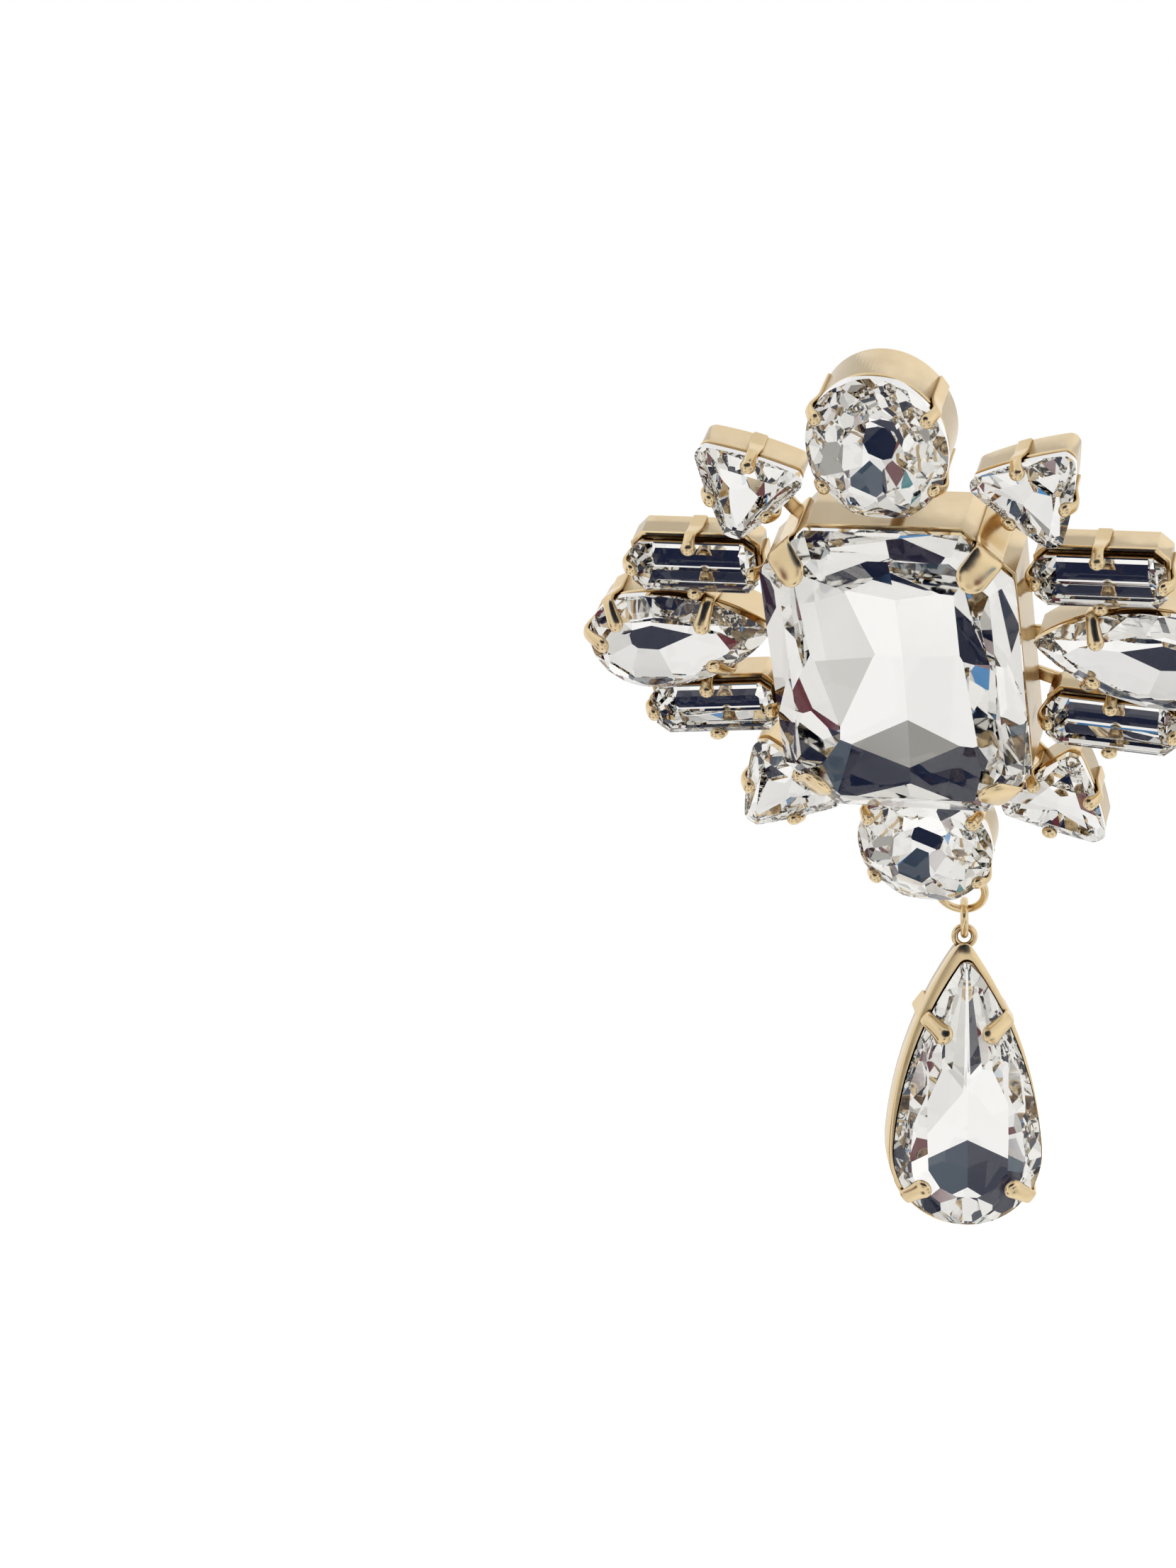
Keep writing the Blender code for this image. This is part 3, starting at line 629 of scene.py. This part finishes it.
def add_claw(shape, seat, claw):
    """A strip up the cup's wall that bends over the stone's edge and ends in a rounded bead."""
    metal = sizes("setting")
    start = Vector((claw.share * seat_size(seat.name), 0.0))
    spot, outward = edge_at(seat.outline(), start, radians(claw.degrees))
    if seat.flare > 0.0:
        outward = (outward + spot.normalized() * CLAW_LEAN).normalized()
    side = Vector((-outward.y, outward.x))
    thick = metal.claw_thickness
    half = thick / 2.0
    half_girdle = sizes("stones").girdle / 2.0
    spread, swell, thicken = BROAD_SHAPE if claw.width > BROAD_FROM else SLIM_SHAPE
    wide = claw.width * spread
    bead = claw.width * swell
    plump = thick * thicken
    lift = metal.claw_gap + half
    rise = tan(CROWN_SLOPE)
    tip = claw.reach - bead / 2.0
    over = metal.claw_gap + plump / 2.0
    neck = (claw.width + bead) / 2.0
    # Columns: distance outside the stone's edge, height, width, thickness, power of the section
    stations = (
        (seat.flare + half * 0.2, seat.back + 0.25 * MM, wide, thick * 0.7, FLAT_SECTION),
        (seat.flare + half * 0.3, seat.back * 0.6, wide, thick * 0.7, FLAT_SECTION),
        (seat.flare + half * 0.5, -half_girdle - 1.5 * MM, wide, thick * 0.8, FLAT_SECTION),
        (max(lift, seat.flare), -half_girdle * 0.6, claw.width, thick, 0.6),
        (max(lift * 0.45, seat.flare * 0.7), half_girdle + lift * 0.9, claw.width, thick * 1.3, 0.9),
        (-tip * 0.55, half_girdle + tip * 0.55 * rise + over * 0.85, neck, plump * 0.9, ROUND_SECTION),
        (-tip, half_girdle + tip * rise + over * 0.95, bead, plump, ROUND_SECTION),
    )
    path = spline_points(stations, CLAW_STEPS)
    rings = []
    for index, (out, up, width, thickness, power) in enumerate(path):
        ahead = path[min(index + 1, len(path) - 1)]
        behind = path[max(index - 1, 0)]
        run = Vector((ahead[0] - behind[0], ahead[1] - behind[1])).normalized()
        face = Vector((run.y, -run.x))
        rings.append(claw_ring(spot, outward, side, out, up, face, section(width, thickness, power)))
    for step in range(1, TIP_RINGS + 1):
        angle = pi / 2.0 * step / (TIP_RINGS + TIP_OPENING)
        ahead = bead / 2.0 * sin(angle)
        shrink = cos(angle)
        bent = section(width * shrink, thickness * shrink ** TIP_POWER, power)
        rings.append(claw_ring(spot, outward, side, out + run.x * ahead, up + run.y * ahead, face, bent))
    loft(shape, rings)


def claw_ring(spot, outward, side, out, up, face, bent):
    """One section of a claw, in its stone's own axes."""
    ring = []
    for across, deep in bent:
        flat = spot + outward * (out + face.x * deep) + side * across
        ring.append((flat.x, flat.y, up + face.y * deep))
    return ring


def add_cup(shape, outline, back, rim, metal):
    """A tub with a rolled rim and a rounded back edge."""
    inset = metal.inset
    wall = metal.wall
    soft = 0.3 * MM
    lip = 0.12 * MM
    profile = (
        (inset + soft, back), (inset + soft * 0.3, back + soft * 0.25), (inset, back + soft),
        (inset, rim - lip * 3.0), (inset - lip * 0.6, rim - lip * 2.0), (inset - lip * 0.6, rim - lip),
        (inset, rim), (inset + wall * 0.5, rim + lip * 0.3), (inset + wall, rim - lip),
        (inset + wall, back + wall + soft), (inset + wall + soft, back + wall),
    )
    loft(shape, [[(p.x, p.y, height) for p in outline(depth)] for depth, height in profile])


def add_drop_cup(shape, outline, back):
    """The hanging cup: a deep tub whose wall stands outside the stone and leans in towards its back."""
    metal = sizes("setting")
    low = back + 1.5 * MM
    high = -sizes("stones").girdle / 2.0
    lip = 0.14 * MM

    def outside(inset, height):
        front = min(max((height - low) / (high - low), 0.0), 1.0)
        length = metal.drop_cup_length - (1.0 - front) * 1.6 * MM
        edge = pear(length, metal.drop_cup_width, inset, DROP_SIDE_SHARE, CUP_TIP)
        return [(p.x, p.y - DROP_SHIFT[1], height) for p in edge]

    # Columns: inset and height, up the outside of the wall and then down its inside
    rings = [outside(inset * MM, height) for inset, height in (
        (0.6, back), (0.42, back + 0.08 * MM), (0.3, back + 0.3 * MM), (0.12, low),
        (0.0, high - 1.1 * MM), (0.02, high - 0.35 * MM), (0.14, high - 0.08 * MM), (0.26, high),
    )]
    for inset, height in (
        (-0.1, high + lip * 0.4), (-0.06, high), (0.0, high - 0.1 * MM),
        (0.9, high - 1.0 * MM), (2.2, back + 0.9 * MM), (2.6, back + 0.6 * MM),
    ):
        rings.append([(p.x, p.y, height) for p in outline(inset * MM)])
    loft(shape, rings)


def lean_back(shape, back):
    """Shift the hanging cup's back up and to the left of its front."""
    for vert in shape.verts:
        share = min(max(vert.co.z / back, 0.0), 1.0)
        vert.co.x += CUP_SHIFT[0] * share
        vert.co.y += CUP_SHIFT[1] * share


def add_torus(shape, matrix, radius, wire, turns=48, sides=14):
    """A round link about the matrix's z axis."""
    rows = []
    for step in range(turns):
        angle = 2.0 * pi * step / turns
        rows.append([])
        for part in range(sides):
            turn = 2.0 * pi * part / sides
            reach = radius + wire / 2.0 * cos(turn)
            point = Vector((reach * cos(angle), reach * sin(angle), wire / 2.0 * sin(turn)))
            rows[-1].append(shape.verts.new(matrix @ point))
    for first, second in zip(rows, rows[1:] + rows[:1]):
        for i in range(sides):
            j = (i + 1) % sides
            shape.faces.new((first[i], second[i], second[j], first[j]))


def add_rod(shape, stations, sides=24):
    """A turned rod along the z axis from (radius, height) stations."""
    rings = []
    for radius, height in stations:
        turns = [2.0 * pi * step / sides for step in range(sides)]
        rings.append([(radius * cos(a), radius * sin(a), height) for a in turns])
    loft(shape, rings)


def add_bar(shape, start, end, width, thick):
    """A flat bar with soft edges between two points, lying in the xy plane."""
    run = (end - start).normalized()
    side = OUT.cross(run)
    rings = []
    bent = section(width, thick, FLAT_SECTION)
    for spot in (start, end):
        rings.append([spot + side * across + OUT * deep for across, deep in bent])
    loft(shape, rings)


def finished(name, shape, matrix, materials, smooth=40.0):
    """An object from a bmesh, moved into the row frame."""
    bmesh.ops.recalc_face_normals(shape, faces=shape.faces)
    bmesh.ops.transform(shape, matrix=matrix, verts=shape.verts)
    mesh = bpy.data.meshes.new(name)
    shape.to_mesh(mesh)
    shape.free()
    for material in materials:
        mesh.materials.append(material)
    item = bpy.data.objects.new(name, mesh)
    bpy.context.scene.collection.objects.link(item)
    if smooth:
        mesh.shade_smooth()
        mesh.set_sharp_from_angle(angle=radians(smooth))
    else:
        mesh.shade_flat()
    return item


# Materials


# How fine the polish marks are, and the roughness of the smoothest and the roughest places
GOLD_MARKS = {"Size": 420.0, "Smooth": 0.15, "Rough": 0.27}
GLASS_MARKS = {"Size": 1500.0, "Smooth": 0.0, "Rough": 0.012}
FOIL_MARKS = {"Size": 600.0, "Smooth": 0.0, "Rough": 0.03}
GLASS_INDEX = 1.56


def set_inputs(node, values):
    """Give a node's inputs their values."""
    for name, value in values.items():
        node.inputs[name].default_value = value


def add_node(tree, kind, values=(), **settings):
    """A new shader node with its settings and the values of its inputs."""
    node = tree.nodes.new("ShaderNode" + kind)
    for name, value in settings.items():
        setattr(node, name, value)
    set_inputs(node, dict(values))
    return node


def polish_group():
    """Fine wipe marks and slow tone changes on a polished surface."""
    group = bpy.data.node_groups.new("polish_marks", "ShaderNodeTree")
    for label in GOLD_MARKS:
        group.interface.new_socket(label, in_out="INPUT", socket_type="NodeSocketFloat")
    for label in ("Roughness", "Height"):
        group.interface.new_socket(label, in_out="OUTPUT", socket_type="NodeSocketFloat")
    given = group.nodes.new("NodeGroupInput")
    made = group.nodes.new("NodeGroupOutput")
    place = add_node(group, "TexCoord")
    broad = add_node(group, "TexNoise", {"Detail": 4.0})
    stretch = add_node(group, "Mapping", {"Scale": (1.0, 0.15, 0.6), "Rotation": (0.3, 0.5, 0.9)})
    finer = add_node(group, "Math", {1: 9.0}, operation="MULTIPLY")
    fine = add_node(group, "TexNoise", {"Detail": 3.0})
    span = add_node(group, "MapRange", {"From Min": 0.3, "From Max": 0.7})
    link = group.links.new
    link(place.outputs["Object"], broad.inputs["Vector"])
    link(given.outputs["Size"], broad.inputs["Scale"])
    link(place.outputs["Object"], stretch.inputs["Vector"])
    link(given.outputs["Size"], finer.inputs[0])
    link(stretch.outputs["Vector"], fine.inputs["Vector"])
    link(finer.outputs[0], fine.inputs["Scale"])
    link(broad.outputs["Fac"], span.inputs["Value"])
    link(given.outputs["Smooth"], span.inputs["To Min"])
    link(given.outputs["Rough"], span.inputs["To Max"])
    link(span.outputs["Result"], made.inputs["Roughness"])
    link(fine.outputs["Fac"], made.inputs["Height"])
    return group


def principled(name, values):
    """A new material, and its shader with the values of its inputs."""
    material = bpy.data.materials.new(name)
    material.use_nodes = True
    shader = material.node_tree.nodes["Principled BSDF"]
    set_inputs(shader, values)
    return material, shader


def polished(name, marks, values):
    """A material whose roughness comes from polish marks, with its shader and the marks' node."""
    material, shader = principled(name, values)
    group = bpy.data.node_groups.get("polish_marks") or polish_group()
    node = add_node(material.node_tree, "Group", marks, node_tree=group)
    material.node_tree.links.new(node.outputs["Roughness"], shader.inputs["Roughness"])
    return material, shader, node


def gold_material():
    """Polished champagne plating, with painted shade that makes it browner deep in the corners."""
    metal = sizes("setting")
    material, shader, marks = polished("champagne_gold", GOLD_MARKS, {"Metallic": 1.0})
    tree = material.node_tree
    # Painted shade: ambient occlusion mixes the gold towards the dark crease colour in corners and between parts
    painted_occlusion = add_node(tree, "AmbientOcclusion", {"Distance": 0.8 * MM}, samples=6)
    deep = add_node(tree, "MapRange", {"From Min": 0.25, "From Max": 0.85})
    shaded_gold = add_node(tree, "Mix", {"A": (*metal.painted_crease_shade, 1.0), "B": (*metal.gold, 1.0)}, data_type="RGBA")
    bump = add_node(tree, "Bump", {"Strength": 0.12, "Distance": 0.02 * MM})
    tree.links.new(painted_occlusion.outputs["AO"], deep.inputs["Value"])
    tree.links.new(deep.outputs["Result"], shaded_gold.inputs["Factor"])
    tree.links.new(shaded_gold.outputs["Result"], shader.inputs["Base Color"])
    tree.links.new(marks.outputs["Height"], bump.inputs["Height"])
    tree.links.new(bump.outputs["Normal"], shader.inputs["Normal"])
    return material


def glass_material():
    """Clear lead glass with a little dust."""
    body = {"Base Color": (*sizes("stones").glass, 1.0), "Transmission Weight": 1.0, "IOR": GLASS_INDEX}
    return polished("cut_glass", GLASS_MARKS, body)[0]


def foil_material():
    """Mirror foil on the back of a stone."""
    mirror = {"Base Color": (*sizes("stones").foil, 1.0), "Metallic": 1.0}
    return polished("mirror_foil", FOIL_MARKS, mirror)[0]


def shared_material(name, maker):
    """A material by name, made the first time that it is asked for."""
    return bpy.data.materials.get(name) or maker()


# Operators


def seat_size(name):
    """The length along a stone's own x axis that its claw and facet shares refer to."""
    stones = sizes("stones")
    lengths = {"centre": stones.centre_width, "top": stones.top_width, "bottom": stones.bottom_width,
               "trillion": stones.trillion_radius, "baguette": stones.baguette_length,
               "pear": stones.pear_length, "drop": stones.drop_length}
    return lengths[name.split("_")[0]]


def declare(piece, body, node):
    """Hang a piece on its body's empty and hide the frame node that it stands for."""
    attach(piece, body)
    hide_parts(node)


def make_stones(*prefixes):
    """Grind, foil and place each stone whose node name starts with a prefix, as an operator's work."""
    glass = shared_material("cut_glass", glass_material)
    foil = shared_material("mirror_foil", foil_material)
    for seat in all_seats():
        if seat.name.startswith(prefixes):
            shape = seat.grind(seat.outline(), seat_size(seat.name))
            stone = finished("cut_" + seat.name, shape, seat.place, (glass, foil), smooth=0.0)
            declare(stone, seat.body, seat.name)
    return {"FINISHED"}


def metal_piece(name, shape, matrix, body, node):
    """A gold piece that stands for a frame node."""
    gold = shared_material("champagne_gold", gold_material)
    declare(finished(name, shape, matrix, (gold,)), body, node)


def make_settings(body, node):
    """Cup and claws of each seat on a body, as one piece for each stone."""
    metal = sizes("setting")
    for seat in all_seats():
        if seat.body != body:
            continue
        shape = bmesh.new()
        if body == "drop":
            add_drop_cup(shape, seat.outline, seat.back)
        else:
            rim = -sizes("stones").girdle / 2.0 - tan(seat.steep) * (metal.inset + metal.wall)
            add_cup(shape, seat.outline, seat.back, rim - metal.seat_gap, metal)
        for claw in seat.claws:
            add_claw(shape, seat, claw)
        if body == "drop":
            lean_back(shape, seat.back)
        metal_piece("setting_" + seat.name, shape, seat.place, body, node)


class EARRING_OT_centre_stone(bpy.types.Operator):
    """Grind the large centre stone"""

    bl_idname = "earring.centre_stone"
    bl_label = "Centre stone"

    def execute(self, context):
        return make_stones("centre")


class EARRING_OT_oval_stones(bpy.types.Operator):
    """Grind the ovals above and below the centre"""

    bl_idname = "earring.oval_stones"
    bl_label = "Oval stones"

    def execute(self, context):
        return make_stones("top", "bottom")


class EARRING_OT_trillions(bpy.types.Operator):
    """Grind the four three-cornered stones"""

    bl_idname = "earring.trillions"
    bl_label = "Trillions"

    def execute(self, context):
        return make_stones("trillion")


class EARRING_OT_baguettes(bpy.types.Operator):
    """Grind the four step-cut baguettes"""

    bl_idname = "earring.baguettes"
    bl_label = "Baguettes"

    def execute(self, context):
        return make_stones("baguette")


class EARRING_OT_pears(bpy.types.Operator):
    """Grind the two side pears"""

    bl_idname = "earring.pears"
    bl_label = "Pears"

    def execute(self, context):
        return make_stones("pear")


class EARRING_OT_drop_stone(bpy.types.Operator):
    """Grind the hanging pear"""

    bl_idname = "earring.drop_stone"
    bl_label = "Drop stone"

    def execute(self, context):
        return make_stones("drop")


def make_back_bars(metal, face):
    """Flat bars behind the cups, from the centre stone's to each of the others."""
    into = face.inverted()
    height = metal.wall / 2.0
    spots = {}
    for seat in all_seats():
        if seat.body == "cluster":
            spot = into @ seat.place.translation
            spots[seat.name] = Vector((spot.x, spot.y, height))
    middle = spots.pop("centre_stone")
    shape = bmesh.new()
    for spot in spots.values():
        add_bar(shape, middle, spot, metal.bar_width, metal.wall)
    metal_piece("back_bars", shape, face, "cluster", "cluster_setting")


def make_cluster_loop(metal, face):
    """The round loop that the jump ring hangs in."""
    out = face.to_3x3() @ OUT
    fall = (-OUT + out * out.z).normalized()
    place = face.copy()
    place.translation = Vector(JOINTS["ring_swing"]["pos_m"]) - fall * metal.loop_radius
    shape = bmesh.new()
    add_torus(shape, Matrix(), metal.loop_radius, metal.loop_wire)
    metal_piece("cluster_loop", shape, place, "cluster", "cluster_setting")


class EARRING_OT_cluster_setting(bpy.types.Operator):
    """Make the cluster's cups, claws, bars and loop"""

    bl_idname = "earring.cluster_setting"
    bl_label = "Cluster setting"

    def execute(self, context):
        make_settings("cluster", "cluster_setting")
        make_back_bars(sizes("setting"), cluster_face())
        make_cluster_loop(sizes("setting"), cluster_face())
        return {"FINISHED"}


class EARRING_OT_ear_post(bpy.types.Operator):
    """Turn the ear post with its rounded tip and solder collar"""

    bl_idname = "earring.ear_post"
    bl_label = "Ear post"

    def execute(self, context):
        metal = sizes("setting")
        radius = metal.post_diameter / 2.0
        shoulder = radius - metal.post_length
        stations = [(radius * share, height) for share, height in COLLAR] + [(radius, shoulder)]
        for step in range(1, TIP_RINGS):
            angle = pi / 2.0 * step / TIP_RINGS
            stations.append((radius * cos(angle), shoulder - radius * sin(angle)))
        shape = bmesh.new()
        add_rod(shape, stations)
        metal_piece("ear_post", shape, cluster_face(), "cluster", "cluster_setting")
        return {"FINISHED"}


class EARRING_OT_jump_ring(bpy.types.Operator):
    """Bend the jump ring that joins the cluster and the drop"""

    bl_idname = "earring.jump_ring"
    bl_label = "Jump ring"

    def execute(self, context):
        metal = sizes("setting")
        low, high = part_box("jump_ring")
        out = table_normal("drop_stone")
        forward = Vector((out.x, out.y, 0.0)).normalized()
        place = axes_to_matrix(forward, OUT, forward.cross(OUT), (low + high) / 2.0)
        shape = bmesh.new()
        add_torus(shape, Matrix(), metal.ring_radius, metal.ring_wire)
        metal_piece("round_jump_ring", shape, place, "ring", "jump_ring")
        return {"FINISHED"}


class EARRING_OT_drop_setting(bpy.types.Operator):
    """Make the drop's cup, claws and loop"""

    bl_idname = "earring.drop_setting"
    bl_label = "Drop setting"

    def execute(self, context):
        metal = sizes("setting")
        make_settings("drop", "drop_setting")
        lift = (metal.drop_loop_wire + metal.ring_wire) / 2.0 + metal.link_gap
        centre = Matrix.Translation((0.0, lift - metal.drop_loop_radius, 0.0))
        shape = bmesh.new()
        add_torus(shape, centre, metal.drop_loop_radius, metal.drop_loop_wire)
        metal_piece("drop_loop", shape, drop_face(), "drop", "drop_setting")
        return {"FINISHED"}


# Studio

# Camera: azimuth, elevation and roll in degrees, focal length in photo pixels, and the row frame's origin
# seen from the camera's axis, in millimetres right of it and above it
CAMERA_AZIMUTH = 19.39
CAMERA_ELEVATION = 0.78
CAMERA_ROLL = 0.39
FOCAL_PIXELS = 5634.0
PIXELS_PER_MM = 15.0
ORIGIN_RIGHT = 28.92 * MM
ORIGIN_ABOVE = 31.93 * MM
PHOTO_HEIGHT = 2212.0
SENSOR = 36.0
MOST_BOUNCES = 16

# Zones of the studio that the stones and the gold mirror, darkest last
# Columns: azimuth, elevation, radius, softness, all in degrees, and the colour's property
ZONES = (
    (85, -52, 13, 6, "mist"),
    (28, -42, 9, 4, "mist"),
    (81, -56, 5, 1.5, "teal"),
    (-110, -26, 7, 2, "wine"),
    (-15, -17, 9, 4, "grey"),
    (52, -27, 9, 2, "wine"),
    (66, -16, 6, 1.5, "azure"),
    (-73, -16, 9, 2, "wine"),
    (-48, -62, 9, 1.5, "wine"),
    (-54, -66, 9, 1.5, "azure"),
    (-50, -64, 9, 1.5, "dark"),
    (-15, 22, 22, 1.5, "azure"),
    (-9, 20, 22, 1.5, "wine"),
    (22, 24, 24, 1.5, "wine"),
    (18, 24, 24, 1.5, "dark"),
    (-12, 22, 22, 1.5, "dark"),
    (31, 15, 7, 4, "slate"),
    (-20, 8, 5, 3, "slate"),
)
ROOM_TONES = 1.6
DIMMEST = 0.86
BRIGHTEST = 1.08
NOISE_LOW = 0.35
NOISE_HIGH = 0.62
FLOOR_ROUGHNESS = 0.8
FLOOR_GLOW = 0.6


def camera_rays_white(tree, world_colour):
    """Show plain paper to the camera, and the studio's zones to everything else."""
    path = add_node(tree, "LightPath")
    plain = add_node(tree, "Background", {"Color": (*sizes("studio").paper, 1.0)})
    lit = add_node(tree, "Background")
    mix = add_node(tree, "MixShader")
    out = add_node(tree, "OutputWorld")
    tree.links.new(world_colour, lit.inputs["Color"])
    tree.links.new(path.outputs["Is Camera Ray"], mix.inputs["Fac"])
    tree.links.new(lit.outputs["Background"], mix.inputs[1])
    tree.links.new(plain.outputs["Background"], mix.inputs[2])
    tree.links.new(mix.outputs["Shader"], out.inputs["Surface"])


def direction(azimuth, elevation):
    """A unit direction; azimuth 0 is towards the front, and 90 to the right."""
    a = radians(azimuth)
    e = radians(elevation)
    return Vector((sin(a) * cos(e), -cos(a) * cos(e), sin(e)))


def studio_world():
    """A white room with dark zones, which gives glass and metal something to mirror."""
    studio = sizes("studio")
    world = bpy.data.worlds.new("studio")
    bpy.context.scene.world = world
    world.use_nodes = True
    tree = world.node_tree
    tree.nodes.clear()
    link = tree.links.new
    place = add_node(tree, "TexCoord")
    tones = add_node(tree, "TexNoise", {"Scale": ROOM_TONES, "Detail": 2.0})
    tone_range = {"From Min": NOISE_LOW, "From Max": NOISE_HIGH, "To Min": DIMMEST, "To Max": BRIGHTEST}
    level = add_node(tree, "MapRange", tone_range)
    link(place.outputs["Generated"], tones.inputs["Vector"])
    link(tones.outputs["Fac"], level.inputs["Value"])
    last = level.outputs["Result"]
    for azimuth, elevation, radius, softness, name in ZONES:
        dot = add_node(tree, "VectorMath", {1: direction(azimuth, elevation)}, operation="DOT_PRODUCT")
        rim, core = (cos(radians(angle)) for angle in (radius + softness, radius))
        fall = add_node(tree, "MapRange", {"From Min": rim, "From Max": core})
        mix = add_node(tree, "Mix", {"B": (*getattr(studio, name), 1.0)}, data_type="RGBA")
        link(place.outputs["Generated"], dot.inputs[0])
        link(dot.outputs["Value"], fall.inputs["Value"])
        link(fall.outputs["Result"], mix.inputs["Factor"])
        link(last, mix.inputs["A"])
        last = mix.outputs["Result"]
    camera_rays_white(tree, last)


def photo_camera():
    """The photo's view of the earring."""
    azimuth = radians(CAMERA_AZIMUTH)
    roll = radians(CAMERA_ROLL)
    forward = -direction(CAMERA_AZIMUTH, CAMERA_ELEVATION)
    right = Vector((cos(azimuth), sin(azimuth), 0.0))
    up = right.cross(forward)
    across = right * cos(roll) - up * sin(roll)
    upward = right * sin(roll) + up * cos(roll)
    distance = FOCAL_PIXELS / PIXELS_PER_MM * MM
    lens = bpy.data.cameras.new("photo_camera")
    lens.sensor_width = SENSOR
    lens.lens = FOCAL_PIXELS * SENSOR / PHOTO_HEIGHT
    lens.clip_start = 0.01
    lens.clip_end = 20.0
    camera = bpy.data.objects.new("photo_camera", lens)
    camera.matrix_world = axes_to_matrix(
        across, upward, -forward, -right * ORIGIN_RIGHT - up * ORIGIN_ABOVE - forward * distance
    )
    bpy.context.scene.collection.objects.link(camera)
    bpy.context.scene.camera = camera


class EARRING_OT_studio(bpy.types.Operator):
    """Lay the pale floor, light the room and set the camera"""

    bl_idname = "earring.studio"
    bl_label = "Studio"

    def execute(self, context):
        studio = sizes("studio")
        paper = (*studio.paper, 1.0)
        shape = bmesh.new()
        bmesh.ops.create_grid(shape, x_segments=1, y_segments=1, size=studio.floor_reach)
        surface = {"Base Color": paper, "Roughness": FLOOR_ROUGHNESS, "Emission Color": paper,
                   "Emission Strength": FLOOR_GLOW}
        material = principled("pale_floor", surface)[0]
        floor = finished("floor", shape, Matrix.Translation((0.0, 0.0, -studio.floor_depth)), (material,))
        floor.visible_glossy = False
        floor.visible_transmission = False
        studio_world()
        photo_camera()
        context.scene.view_settings.view_transform = "Standard"
        for kind in ("max", "glossy", "transmission"):
            setattr(context.scene.cycles, kind + "_bounces", MOST_BOUNCES)
        return {"FINISHED"}


STEPS = (
    EARRING_OT_studio, EARRING_OT_centre_stone, EARRING_OT_oval_stones, EARRING_OT_trillions,
    EARRING_OT_baguettes, EARRING_OT_pears, EARRING_OT_drop_stone, EARRING_OT_cluster_setting,
    EARRING_OT_ear_post, EARRING_OT_jump_ring, EARRING_OT_drop_setting,
)
GROUPS = (
    ("earring_stones", EARRING_PG_stones),
    ("earring_setting", EARRING_PG_setting),
    ("earring_studio", EARRING_PG_studio),
)


class EARRING_PT_panel(bpy.types.Panel):
    """Steps and sizes of the earring"""

    bl_idname = "EARRING_PT_panel"
    bl_label = "Chandelier earring"
    bl_space_type = "VIEW_3D"
    bl_region_type = "UI"
    bl_category = "Earring"

    def draw(self, context):
        for step in STEPS:
            self.layout.operator(step.bl_idname)
        for label, group in GROUPS:
            box = self.layout.box()
            for key in group.__annotations__:
                box.prop(getattr(context.scene, label), key)


def register():
    """Register the classes and their properties."""
    for label, group in GROUPS:
        bpy.utils.register_class(group)
        setattr(bpy.types.Scene, label, bpy.props.PointerProperty(type=group))
    for item in (*STEPS, EARRING_PT_panel):
        bpy.utils.register_class(item)


def unregister():
    """Take the classes and their properties away."""
    for item in reversed((*STEPS, EARRING_PT_panel)):
        bpy.utils.unregister_class(item)
    for label, group in reversed(GROUPS):
        delattr(bpy.types.Scene, label)
        bpy.utils.unregister_class(group)


def main():
    """Build every piece in order."""
    register()
    for step in STEPS:
        group, name = step.bl_idname.split(".")
        getattr(getattr(bpy.ops, group), name)()


if __name__ == "__main__":
    main()
